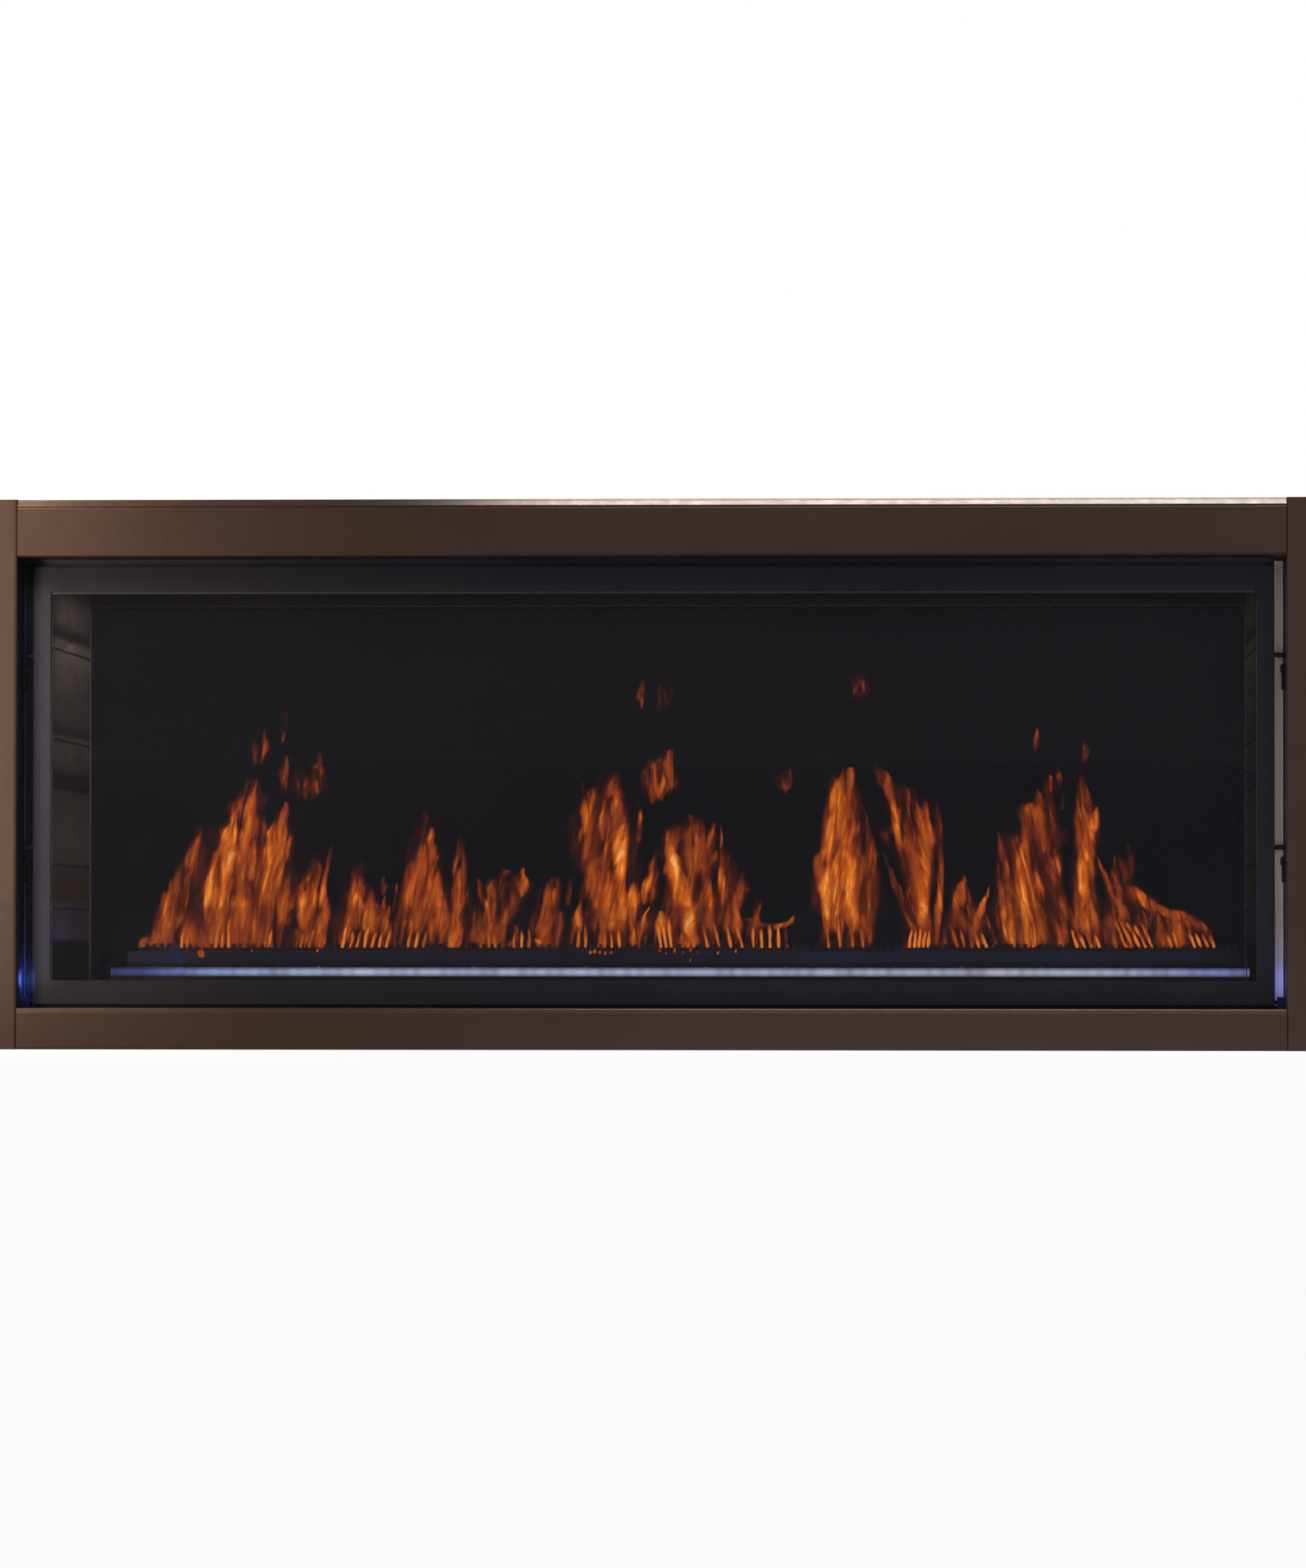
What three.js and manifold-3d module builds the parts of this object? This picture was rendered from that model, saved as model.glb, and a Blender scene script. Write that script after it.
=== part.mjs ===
// Double-sided linear gas fireplace, built as an assembly of separate pieces.
// All lengths are in millimetres. X runs left to right, Y from the front side to the rear side,
// Z up. The origin is at the middle of the base. Both sides are alike: the rear one is the front
// one turned half round about Z, and its left and right are as seen by a person who faces it.

import * as THREE from 'three';
import { mergeVertices } from 'three/addons/utils/BufferGeometryUtils.js';
import Module from 'manifold-3d';

const wasm = await Module();
wasm.setup();

// Clearances, sheets and cuts
const gap = 0.3;
const overrun = 2;
const joinDepth = 1;
const sheet = 2;
const plateThickness = 3;

// Glass panes
const viewWidth = 1524;
const viewHeight = 492;
const paneThickness = 5;
const paneLap = 8;
const paneSpacing = 400;

// Door frames
const doorStile = 22;
const doorBottomRail = 30;
const doorTopRail = 31.5;
const doorThickness = 16;
const doorLip = 6;
const doorSideGap = 13;
const doorBottomGap = 4.5;
const doorTopGap = 10;
const gasketProud = 1;
const hingePinRadius = 2.5;
const hingePinInset = 4;
const hingePinLength = 10;
const bracketReach = 10;
const bracketDepth = 16;
const bracketWall = 4;

// Latches
const latchHeightShares = [0.327, 0.753];
const latchArm = 22;
const latchHub = 6;
const latchTip = 4.5;
const latchThickness = 4;
const latchPinRadius = 3;
const latchPinClearance = 1;
const studRadius = 3;
const studHeadRadius = 5;
const studHead = 1.2;

// Surround
const topRailHeight = 72;
const bottomRailHeight = 52;
const surroundStile = 72;
const barThickness = 12;
const barBevel = 8;
const barBevelDepth = 4;
const recess = 60;
const returnFlange = 18;

// Firebox
const linerThickness = 20;
const floorDrop = 16.5;
const ceilingRise = 15.5;
const courseJointShares = [0.124, 0.204, 0.311, 0.502, 0.616, 0.836];
const courseJoint = 4;
const courseJointDepth = 3;

// Burner
const burnerLeftInset = 82;
const burnerRightInset = 17;
const burnerJointShare = 0.606;
const burnerHalfDepth = 70;
const burnerHeight = 53;
const burnerSheet = 2;
const combHalfDepth = 6;
const combHeight = 10;
const combRoot = 4;
const combPitch = 9.3;
const combToothShare = 0.55;

// Light bar, wind guard and media beds
const barLeftInset = 71;
const barRightInset = 8;
const barSetback = 19;
const channelDepth = 12;
const channelHeight = 18;
const ledDepth = 10;
const ledHeight = 33;
const guardThickness = 4;
const guardSeatRise = 5;
const guardHeight = 105;
const guardInset = 3;
const guardCornerWidth = 12;
const guardCornerHeight = 80;
const bedHeight = 27;
const bedCrown = 6;

// Casing
const baseHeight = 12;
const plenumHeight = 51;
const endFold = 14;
const skidInset = 60;
const skidWidth = 50;
const accessWidth = 220;
const accessRise = 81;
const accessHeight = 240;
const coverLap = 9;
const coverAxisOut = 4;
const coverBarrel = 3.5;
const lugLength = 8;
const lugWall = 3;
const smallPin = 2;

// Flue
const flueInner = 63.5;
const flueOuter = 101.5;
const flueWall = 2;
const flueRise = 38;
const flueBaseWidth = 18;

// Relief flaps
const flapCentreShare = 0.433;
const flapWidth = 160;
const flapDepth = 110;
const flapLap = 10;
const flapThickness = 3;
const flapAxisRise = 4.2;

// Controls in the right end
const valveDepth = 42;
const valveWidth = 70;
const valveY = -60;
const valveRise = 96;
const valveHeight = 65;
const knobRadius = 13;
const knobDepth = 12;
const knobRidge = 3;
const pipeRadius = 6;
const pipeBore = 4;
const inletRise = 16;
const inletReach = 18;
const nutRadius = 10;
const nutLength = 9;
const shutoffRise = 66;
const shutoffHalf = 11;
const leverLength = 30;
const leverHub = 7;
const leverTip = 5;
const leverThickness = 3;
const manifoldRise = 28;
const manifoldInset = 10;
const rightRiserShare = 0.4;
const leftRiserShare = 0.2;
const riserReach = 14;
const floorHoleClearance = 3;
const shutterLength = 30;
const shutterWall = 3.5;
const shutterShare = 0.62;
const shutterTab = 12;
const boxOffset = 25;
const boxWidth = 88;
const boxHeight = 85;
const boxDepth = 36;
const rockerWidth = 16;
const rockerHalf = 15;
const rockerDepth = 5;
const rockerProud = 4;
const rockerSweep = 3.4;
const compartmentSpare = 6.4;

// Pilot
const pilotSetback = 20;
const pilotBase = 30;
const pilotShelfRise = 40;
const pilotWall = 8;
const pilotHoodRadius = 7;
const pilotHoodHeight = 30;
const sensorRadius = 2.5;
const sensorLength = 40;

// Sizes that follow from those above
const doorWidth = viewWidth + 2 * doorStile;
const doorHeight = viewHeight + doorBottomRail + doorTopRail;
const openingWidth = doorWidth + 2 * doorSideGap;
const openingHeight = doorHeight + doorBottomGap + doorTopGap;
const openingBottom = bottomRailHeight;
const openingTop = openingBottom + openingHeight;
const totalHeight = openingTop + topRailHeight;
const totalHalfWidth = openingWidth / 2 + surroundStile;
const doorBottom = openingBottom + doorBottomGap;
const doorTop = doorBottom + doorHeight;
const viewBottom = doorBottom + doorBottomRail;
const viewTop = viewBottom + viewHeight;
const halfDepth = paneSpacing / 2 + paneThickness + gap + doorLip + recess;
const faceY = -halfDepth;
const doorY = faceY + recess;
const paneY = doorY + doorLip + gap;
const plateY = doorY + doorThickness + gasketProud;
const innerY = plateY + plateThickness + gap;
const linerFace = viewWidth / 2;
const linerBack = linerFace + linerThickness;
const compartment = valveDepth + knobDepth + 2 * gap + compartmentSpare;
const casingHalf = linerBack + gap + compartment + sheet;
const ceilingBottom = viewTop + ceilingRise;
const ceilingTop = ceilingBottom + plateThickness;
const panBottom = baseHeight;
const panTop = panBottom + sheet;
const hingeY = doorY + hingePinInset;
const hingeZ = doorBottom + hingePinInset;
const latchPinY = doorY + doorThickness / 2;
const latchY = latchPinY - latchPinRadius - latchPinClearance - latchTip;
const floorTop = viewBottom - floorDrop;
const burnerLeft = burnerLeftInset - linerFace;
const burnerRight = linerFace - burnerRightInset;
const burnerJoint = burnerLeft + burnerJointShare * (burnerRight - burnerLeft);
const burnerTop = floorTop + burnerHeight;
const barLeft = barLeftInset - linerFace;
const barRight = linerFace - barRightInset;
const channelFace = innerY + barSetback;
const ledFace = channelFace + channelDepth;
const ledBack = ledFace + ledDepth;
const ledTop = floorTop + ledHeight;
const channelTop = floorTop + channelHeight;
const guardSeat = floorTop + guardSeatRise;
const guardTop = guardSeat + guardHeight;
const bedTop = floorTop + bedHeight;
const casingTop = ceilingTop + plenumHeight;
const flueTop = casingTop + flueRise;
const accessBottom = panTop + accessRise;
const accessTop = accessBottom + accessHeight;
const valveFront = valveY - valveWidth / 2;
const valveBack = valveY + valveWidth / 2;
const valveBottom = panTop + valveRise;
const valveTop = valveBottom + valveHeight;
const inletHeight = panTop + inletRise;
const shutoffHeight = panTop + shutoffRise;
const manifoldHeight = panTop + manifoldRise;
const manifoldY = valveBack - manifoldInset;
const boxFront = valveBack + boxOffset;
const boxBack = boxFront + boxWidth;
const boxTop = valveBottom + boxHeight;
const pilotX = burnerLeft - pilotSetback - pilotBase / 2;
const pilotShelf = floorTop + pilotShelfRise;
const latchHeights = latchHeightShares.map((share) => openingBottom + share * openingHeight);
const latchPinRise = latchArm - latchTip;
const latchOuter = openingWidth / 2 - gap;
const latchInner = latchOuter - latchThickness;

// Finishes

function finish(colour, roughness, metalness) {
  return new THREE.MeshStandardMaterial({ color: colour, roughness, metalness });
}

const finishes = {
  bronze: finish('#5a4234', 0.42, 0.6),
  black: finish('#232326', 0.55, 0.4),
  steel: finish('#8d8f92', 0.4, 0.9),
  glass: finish('#9fb0b4', 0.05, 0),
  rope: finish('#c9c4b8', 0.95, 0),
  stone: finish('#4a4341', 0.85, 0),
  crushed: finish('#2f3c6b', 0.2, 0),
  brass: finish('#b08d4f', 0.35, 0.9),
  plastic: finish('#1c1c1e', 0.5, 0),
};

// Shapes

const xAxis = new THREE.Vector3(1, 0, 0);
const yAxis = new THREE.Vector3(0, 1, 0);
const zAxis = new THREE.Vector3(0, 0, 1);
const minusY = new THREE.Vector3(0, -1, 0);

// A box between pairs of low and high values along X, Y and Z.
function block(x, y, z) {
  const geometry = new THREE.BoxGeometry(x[1] - x[0], y[1] - y[0], z[1] - z[0]);
  geometry.translate((x[0] + x[1]) / 2, (y[0] + y[1]) / 2, (z[0] + z[1]) / 2);
  return geometry;
}

// An outline pushed along an axis. Outline points are (Y, Z) for an X prism, (X, Z) for a Y prism
// and (X, Y) for a Z prism.
function prism(axis, outline, span) {
  const points = (list) => list.map((p) => new THREE.Vector2(...p));
  const shape = Array.isArray(outline) ? new THREE.Shape(points(outline)) : outline;
  const length = span[1] - span[0];
  const geometry = new THREE.ExtrudeGeometry(shape, { depth: length, bevelEnabled: false, curveSegments: 8 });
  const turn = new THREE.Matrix4();
  if (axis === 'x') turn.makeBasis(yAxis, zAxis, xAxis).setPosition(span[0], 0, 0);
  if (axis === 'y') turn.makeBasis(xAxis, zAxis, minusY).setPosition(0, span[1], 0);
  if (axis === 'z') turn.setPosition(0, 0, span[0]);
  geometry.applyMatrix4(turn);
  return geometry;
}

// A round bar along an axis; the centre is given in the order of the prism's outline points.
function rod(axis, radius, centre, span, sides = 24) {
  const outline = [];
  for (let i = 0; i < sides; i += 1) {
    const angle = (2 * Math.PI * i) / sides;
    outline.push([centre[0] + radius * Math.cos(angle), centre[1] + radius * Math.sin(angle)]);
  }
  return prism(axis, outline, span);
}

function solid(geometry) {
  const bare = geometry.clone();
  bare.deleteAttribute('normal');
  bare.deleteAttribute('uv');
  const merged = mergeVertices(bare);
  const mesh = new wasm.Mesh({
    numProp: 3,
    vertProperties: new Float32Array(merged.attributes.position.array),
    triVerts: new Uint32Array(merged.index.array),
  });
  return new wasm.Manifold(mesh);
}

function fromSolid(body) {
  const mesh = body.getMesh();
  const geometry = new THREE.BufferGeometry();
  geometry.setAttribute('position', new THREE.BufferAttribute(mesh.vertProperties, 3));
  geometry.setIndex(new THREE.BufferAttribute(mesh.triVerts, 1));
  geometry.computeVertexNormals();
  return geometry;
}

function join(...geometries) {
  return fromSolid(geometries.map(solid).reduce((sum, next) => sum.add(next)));
}

function carve(geometry, ...tools) {
  return fromSolid(tools.map(solid).reduce((rest, tool) => rest.subtract(tool), solid(geometry)));
}

// A rectangular frame: a box with a rectangular hole through it along Y.
function ring(x, y, z, holeX, holeZ) {
  return carve(block(x, y, z), block(holeX, [y[0] - overrun, y[1] + overrun], holeZ));
}

// A lever's outline: a round hub and a round tip joined by straight sides, hanging from the hub.
function leverOutline(centre, hub, tip, length) {
  const lean = Math.asin((hub - tip) / length);
  const shape = new THREE.Shape();
  shape.absarc(centre[0], centre[1], hub, -lean, Math.PI + lean, false);
  shape.absarc(centre[0], centre[1] - length, tip, Math.PI + lean, 2 * Math.PI - lean, false);
  return shape;
}

const fireplace = new THREE.Group();

function place(name, geometry, look, parent = fireplace) {
  const mesh = new THREE.Mesh(geometry, finishes[look].clone());
  mesh.name = name;
  parent.add(mesh);
}

// One surround bar: a flat bar with both long front edges bevelled.
function bevelledBar(low, high) {
  const back = faceY + barThickness;
  return [
    [low, back],
    [low, faceY + barBevelDepth],
    [low + barBevel, faceY],
    [high - barBevel, faceY],
    [high, faceY + barBevelDepth],
    [high, back],
  ];
}

function rail(bottom, top) {
  const outline = bevelledBar(bottom, top).map(([z, y]) => [y, z]);
  const reach = openingWidth / 2 - gap;
  return prism('x', outline, [-reach, reach]);
}

function stile(left, right) {
  return prism('z', bevelledBar(left, right), [0, totalHeight]);
}

// The folded sheet between surround and firebox, with studs for the latches and bearings for the
// door's hinge pins on its two side walls.
function returnFrame() {
  const half = openingWidth / 2;
  const front = faceY + barThickness + gap;
  const back = plateY - gap;
  const sleeveX = [-half - sheet, half + sheet];
  const sleeve = block(sleeveX, [front, back], [openingBottom - sheet, openingTop + sheet]);
  const flangeX = [-half - returnFlange, half + returnFlange];
  const flangeZ = [openingBottom - returnFlange, openingTop + returnFlange];
  const flange = block(flangeX, [front, front + sheet], flangeZ);
  const hole = block([-half, half], [front - overrun, back + overrun], [openingBottom, openingTop]);
  const parts = [carve(join(sleeve, flange), hole)];
  for (const side of [-1, 1]) {
    const across = (a, b) => [Math.min(side * a, side * b), Math.max(side * a, side * b)];
    for (const height of latchHeights) {
      const headFace = latchInner - gap - studHead;
      parts.push(rod('x', studRadius, [latchY, height], across(headFace, half + joinDepth), 16));
      parts.push(rod('x', studHeadRadius, [latchY, height], across(headFace, latchInner - gap), 16));
    }
    const bearing = block(
      across(half - bracketReach, half + joinDepth),
      [hingeY - bracketDepth / 2, hingeY + bracketDepth / 2],
      [openingBottom - joinDepth, hingeZ + hingePinRadius + bracketWall],
    );
    const boreSpan = across(half - bracketReach - overrun, half);
    parts.push(carve(bearing, rod('x', hingePinRadius + gap, [hingeY, hingeZ], boreSpan)));
  }
  return join(...parts);
}

// The door frame, rebated from behind for the pane, with its hinge pins and latch pins.
function doorFrame() {
  const half = doorWidth / 2;
  const back = doorY + doorThickness;
  const viewX = [-viewWidth / 2, viewWidth / 2];
  const frame = ring([-half, half], [doorY, back], [doorBottom, doorTop], viewX, [viewBottom, viewTop]);
  const lap = paneLap + gap;
  const rebate = block(
    [viewX[0] - lap, viewX[1] + lap],
    [doorY + doorLip, back + overrun],
    [viewBottom - lap, viewTop + lap],
  );
  const parts = [carve(frame, rebate)];
  for (const side of [-1, 1]) {
    const across = (a, b) => [Math.min(side * a, side * b), Math.max(side * a, side * b)];
    const pinSpan = across(half - joinDepth, half + hingePinLength);
    parts.push(rod('x', hingePinRadius, [hingeY, hingeZ], pinSpan, 16));
    for (const height of latchHeights) {
      const centre = [latchPinY, height + latchPinRise];
      parts.push(rod('x', latchPinRadius, centre, across(half - joinDepth, latchOuter - gap), 16));
    }
  }
  return join(...parts);
}

function pane() {
  return block(
    [-viewWidth / 2 - paneLap, viewWidth / 2 + paneLap],
    [paneY, paneY + paneThickness],
    [viewBottom - paneLap, viewTop + paneLap],
  );
}

function gasket() {
  return ring(
    [-viewWidth / 2 - paneLap, viewWidth / 2 + paneLap],
    [paneY + paneThickness + gap, plateY - gap],
    [viewBottom - paneLap, viewTop + paneLap],
    [-viewWidth / 2, viewWidth / 2],
    [viewBottom, viewTop],
  );
}

// A latch lever, hanging from its stud.
function latch(side, height) {
  const outline = leverOutline([latchY, height], latchHub, latchTip, latchArm);
  outline.holes.push(new THREE.Path().absarc(latchY, height, studRadius + gap, 0, 2 * Math.PI, true));
  const span = side < 0 ? [-latchOuter, -latchInner] : [latchInner, latchOuter];
  return prism('x', outline, span);
}

function facePlate() {
  return ring(
    [-casingHalf, casingHalf],
    [plateY, plateY + plateThickness],
    [panTop + gap, casingTop - sheet - gap],
    [-viewWidth / 2, viewWidth / 2],
    [viewBottom, viewTop],
  );
}

// The light bar: a channel that holds the wind guard, with the upright light strip behind it.
function lightBar(ends) {
  const slotFront = (channelFace + ledFace) / 2 - guardThickness / 2 - gap;
  const slotBack = slotFront + guardThickness + 2 * gap;
  const foot = floorTop + gap;
  const outline = [
    [channelFace, foot],
    [ledBack, foot],
    [ledBack, ledTop],
    [ledFace, ledTop],
    [ledFace, channelTop],
    [slotBack, channelTop],
    [slotBack, guardSeat],
    [slotFront, guardSeat],
    [slotFront, channelTop],
    [channelFace, channelTop],
  ];
  return prism('x', outline, ends);
}

// The clear wind guard, with an elliptical corner at each upper end.
function windGuard(ends) {
  const centre = (channelFace + ledFace) / 2;
  const foot = guardSeat + gap;
  const [left, right] = [ends[0] + guardInset, ends[1] - guardInset];
  const shape = new THREE.Shape();
  shape.moveTo(left, foot);
  shape.lineTo(right, foot);
  const spring = guardTop - guardCornerHeight;
  const corner = [guardCornerWidth, guardCornerHeight];
  shape.absellipse(right - guardCornerWidth, spring, ...corner, 0, Math.PI / 2);
  shape.absellipse(left + guardCornerWidth, spring, ...corner, Math.PI / 2, Math.PI);
  shape.closePath();
  return prism('y', shape, [centre - guardThickness / 2, centre + guardThickness / 2]);
}

// A bed of crushed glass between light bar and burner, with a low crown.
function mediaBed(ends) {
  const front = ledBack + gap;
  const back = -burnerHalfDepth - gap;
  const outline = [
    [front, floorTop + gap],
    [back, floorTop + gap],
    [back, bedTop],
    [(front + back) / 2, bedTop + bedCrown],
    [front, bedTop],
  ];
  return prism('x', outline, ends);
}

// Everything that each side has of its own
for (const side of ['front', 'rear']) {
  const group = new THREE.Group();
  const turned = side === 'rear';
  if (turned) group.rotation.z = Math.PI;
  fireplace.add(group);
  const ends = turned ? [-barRight, -barLeft] : [barLeft, barRight];
  place(`${side}_surround_left_stile`, stile(-totalHalfWidth, -openingWidth / 2), 'bronze', group);
  place(`${side}_surround_right_stile`, stile(openingWidth / 2, totalHalfWidth), 'bronze', group);
  place(`${side}_surround_top_rail`, rail(openingTop, totalHeight), 'bronze', group);
  place(`${side}_surround_bottom_rail`, rail(0, bottomRailHeight), 'bronze', group);
  place(`${side}_return_frame`, returnFrame(), 'black', group);
  place(`${side}_door_frame`, doorFrame(), 'black', group);
  place(`${side}_door_glass`, pane(), 'glass', group);
  place(`${side}_door_gasket`, gasket(), 'rope', group);
  place(`${side}_left_lower_latch`, latch(-1, latchHeights[0]), 'black', group);
  place(`${side}_left_upper_latch`, latch(-1, latchHeights[1]), 'black', group);
  place(`${side}_right_lower_latch`, latch(1, latchHeights[0]), 'black', group);
  place(`${side}_right_upper_latch`, latch(1, latchHeights[1]), 'black', group);
  place(`${side}_face_plate`, facePlate(), 'black', group);
  place(`${side}_light_bar`, lightBar(ends), 'plastic', group);
  place(`${side}_wind_guard`, windGuard(ends), 'glass', group);
  place(`${side}_crushed_glass_bed`, mediaBed(ends), 'crushed', group);
}

// Side liners: masonry-like panels with a joint cut between the courses
function liner(side) {
  const bottom = floorTop + gap;
  const top = ceilingBottom - gap;
  const across = side < 0 ? [-linerBack, -linerFace] : [linerFace, linerBack];
  const face = side * linerFace;
  const joints = courseJointShares.map((share) => {
    const z = bottom + share * (top - bottom);
    const inner = [face - side * overrun, face + side * courseJointDepth].sort((a, b) => a - b);
    return block(inner, [innerY - overrun, -innerY + overrun], [z - courseJoint / 2, z + courseJoint / 2]);
  });
  return carve(block(across, [innerY, -innerY], [bottom, top]), ...joints);
}

place('left_liner', liner(-1), 'stone');
place('right_liner', liner(1), 'stone');

// Manifold pipe route, also used by the holes that it passes
const valveX = linerBack + gap;
const rightRiser = burnerRight - rightRiserShare * (burnerRight - burnerJoint);
const leftRiser = burnerJoint - leftRiserShare * (burnerJoint - burnerLeft);
const risers = [leftRiser, rightRiser];
const pipeX = valveX + pipeRadius + gap;

function firefloor() {
  const floor = block([-linerBack, linerBack], [innerY, -innerY], [floorTop - sheet, floorTop]);
  const holes = risers.map((x) => {
    const span = [floorTop - sheet - overrun, floorTop + overrun];
    return rod('z', pipeRadius + floorHoleClearance, [x, manifoldY], span);
  });
  return carve(floor, ...holes);
}

place('firebox_floor', firefloor(), 'black');

// Burner trays: sheet pans turned over, standing on the floor
function burnerTray(left, right) {
  const foot = floorTop + gap;
  const wall = burnerSheet;
  const outer = block([left, right], [-burnerHalfDepth, burnerHalfDepth], [foot, burnerTop]);
  const inner = block(
    [left + wall, right - wall],
    [-burnerHalfDepth + wall, burnerHalfDepth - wall],
    [foot - overrun, burnerTop - wall],
  );
  const slot = block(
    [left + burnerHalfDepth, right - burnerHalfDepth],
    [-combHalfDepth / 2, combHalfDepth / 2],
    [burnerTop - wall - overrun, burnerTop + overrun],
  );
  return carve(outer, inner, slot);
}

place('left_burner_tray', burnerTray(burnerLeft, burnerJoint - gap / 2), 'steel');
place('right_burner_tray', burnerTray(burnerJoint + gap / 2, burnerRight), 'steel');

// The port comb: a bar whose teeth leave the flame ports between them
function portComb() {
  const length = burnerRight - burnerLeft - 2 * burnerSheet;
  const count = Math.floor(length / combPitch);
  const start = (burnerLeft + burnerRight) / 2 - (count * combPitch) / 2;
  const foot = burnerTop + gap;
  const root = foot + combRoot;
  const tooth = combPitch * combToothShare;
  const outline = [[start, foot], [start + count * combPitch + tooth, foot]];
  for (let i = count; i >= 0; i -= 1) {
    const x = start + i * combPitch;
    outline.push([x + tooth, foot + combHeight], [x, foot + combHeight]);
    if (i > 0) outline.push([x, root], [x - combPitch + tooth, root]);
  }
  return prism('y', outline, [-combHalfDepth, combHalfDepth]);
}

place('port_comb', portComb(), 'steel');

// Pilot burner and flame sensor at the left end of the burner
function pilotBurner() {
  const foot = floorTop + gap;
  const half = pilotBase / 2;
  const base = block([pilotX - half, pilotX + half], [-half, half], [foot, foot + sheet]);
  const post = block([pilotX - pilotWall, pilotX], [-half, half], [foot, pilotShelf]);
  const shelf = block([pilotX - pilotWall, pilotX + half], [-half, half], [pilotShelf - sheet, pilotShelf]);
  const top = pilotShelf + pilotHoodHeight;
  const hood = rod('z', pilotHoodRadius, [pilotX, -half / 2], [pilotShelf - joinDepth, top]);
  const mouth = rod('z', pilotHoodRadius - sheet, [pilotX, -half / 2], [pilotShelf + sheet, top + overrun]);
  return carve(join(base, post, shelf, hood), mouth);
}

place('pilot_burner', pilotBurner(), 'steel');
const sensorPlace = [pilotX, pilotBase / 4 + sensorRadius];
const sensorSpan = [pilotShelf + gap, pilotShelf + gap + sensorLength];
place('flame_sensor', rod('z', sensorRadius, sensorPlace, sensorSpan, 12), 'steel');

// Ceiling baffle, with the relief openings, the flue hole and lugs for the flaps
const flapCentre = flapCentreShare * linerFace;
const flapHingeY = -flapDepth / 2;
const flapAxisZ = ceilingTop + flapAxisRise;
const lugInner = flapWidth / 2 + gap;

function ceiling() {
  const through = [ceilingBottom - overrun, ceilingTop + overrun];
  const tools = [rod('z', flueInner - flueWall, [0, 0], through, 48)];
  const lugs = [];
  for (const centre of [-flapCentre, flapCentre]) {
    const halfX = flapWidth / 2 - flapLap;
    const halfY = flapDepth / 2 - flapLap;
    tools.push(block([centre - halfX, centre + halfX], [-halfY, halfY], through));
    for (const side of [-1, 1]) {
      const spanX = [centre + side * lugInner, centre + side * (lugInner + lugLength)].sort((a, b) => a - b);
      const reach = smallPin + lugWall;
      const lug = block(
        spanX,
        [flapHingeY - reach, flapHingeY + reach],
        [ceilingTop - joinDepth, flapAxisZ + reach],
      );
      const boreSpan = [spanX[0] - overrun, spanX[1] + overrun];
      lugs.push(carve(lug, rod('x', smallPin + gap, [flapHingeY, flapAxisZ], boreSpan)));
    }
  }
  const sheetBlock = block([-linerBack, linerBack], [innerY, -innerY], [ceilingBottom, ceilingTop]);
  return join(carve(sheetBlock, ...tools), ...lugs);
}

place('ceiling_baffle', ceiling(), 'black');

function reliefFlap(centre) {
  const leaf = block(
    [centre - flapWidth / 2, centre + flapWidth / 2],
    [flapHingeY, flapHingeY + flapDepth],
    [ceilingTop + gap, ceilingTop + gap + flapThickness],
  );
  const barrelSpan = [centre - flapWidth / 2, centre + flapWidth / 2];
  const barrel = rod('x', flapAxisRise - 2 * gap, [flapHingeY, flapAxisZ], barrelSpan, 16);
  const reach = flapWidth / 2 + lugLength;
  const pin = rod('x', smallPin, [flapHingeY, flapAxisZ], [centre - reach, centre + reach], 16);
  return join(leaf, barrel, pin);
}

place('left_relief_flap', reliefFlap(-flapCentre), 'steel');
place('right_relief_flap', reliefFlap(flapCentre), 'steel');

// Flue: the inner pipe stands on the ceiling, the outer collar on the casing
function tube(outer, wall, bottom, top, baseWidth, baseHeight) {
  const profile = [
    [outer - wall, bottom],
    [outer + baseWidth, bottom],
    [outer + baseWidth, bottom + baseHeight],
    [outer, bottom + baseHeight],
    [outer, top],
    [outer - wall, top],
    [outer - wall, bottom],
  ];
  const geometry = new THREE.LatheGeometry(profile.map((p) => new THREE.Vector2(...p)), 48);
  geometry.rotateX(Math.PI / 2);
  return fromSolid(solid(geometry));
}

place('flue_pipe', tube(flueInner, flueWall, ceilingTop + gap, flueTop, flueBaseWidth, sheet), 'steel');
place('flue_collar', tube(flueOuter, flueWall, casingTop + gap, flueTop, flueBaseWidth, sheet), 'steel');

// Casing: base pan, two ends, top
const inletX = valveX + valveDepth / 2;

function endCasing(side) {
  const outer = side * casingHalf;
  const inner = side * (casingHalf - sheet);
  const folded = side * (casingHalf - endFold);
  const order = (a, b) => [Math.min(a, b), Math.max(a, b)];
  const z = [panTop + gap, casingTop - sheet - gap];
  const shell = block(order(outer, folded), [innerY, -innerY], z);
  const hollow = block(
    order(inner, folded - side * overrun),
    [innerY + sheet, -innerY - sheet],
    [z[0] + sheet, z[1] - sheet],
  );
  if (side < 0) return carve(shell, hollow);
  const cut = [casingHalf - sheet - overrun, casingHalf + overrun];
  const access = block(cut, [-accessWidth / 2, accessWidth / 2], [accessBottom, accessTop]);
  const inlet = rod('x', pipeRadius + 2 * gap, [valveY, inletHeight], cut);
  const parts = [carve(shell, hollow, access, inlet)];
  for (const end of [-1, 1]) {
    const spanY = order(end * coverLugInner, end * (coverLugInner + lugLength));
    const reach = smallPin + lugWall;
    const spanX = [casingHalf - joinDepth, coverAxisX + reach];
    const lug = block(spanX, spanY, [coverAxisZ - reach, coverAxisZ + reach]);
    const boreSpan = [spanY[0] - overrun, spanY[1] + overrun];
    parts.push(carve(lug, rod('y', smallPin + gap, [coverAxisX, coverAxisZ], boreSpan)));
  }
  return join(...parts);
}

const coverAxisX = casingHalf + coverAxisOut;
const coverAxisZ = accessTop + coverLap;
const coverHalf = accessWidth / 2 + coverLap;
const coverLugInner = coverHalf + gap;

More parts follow.
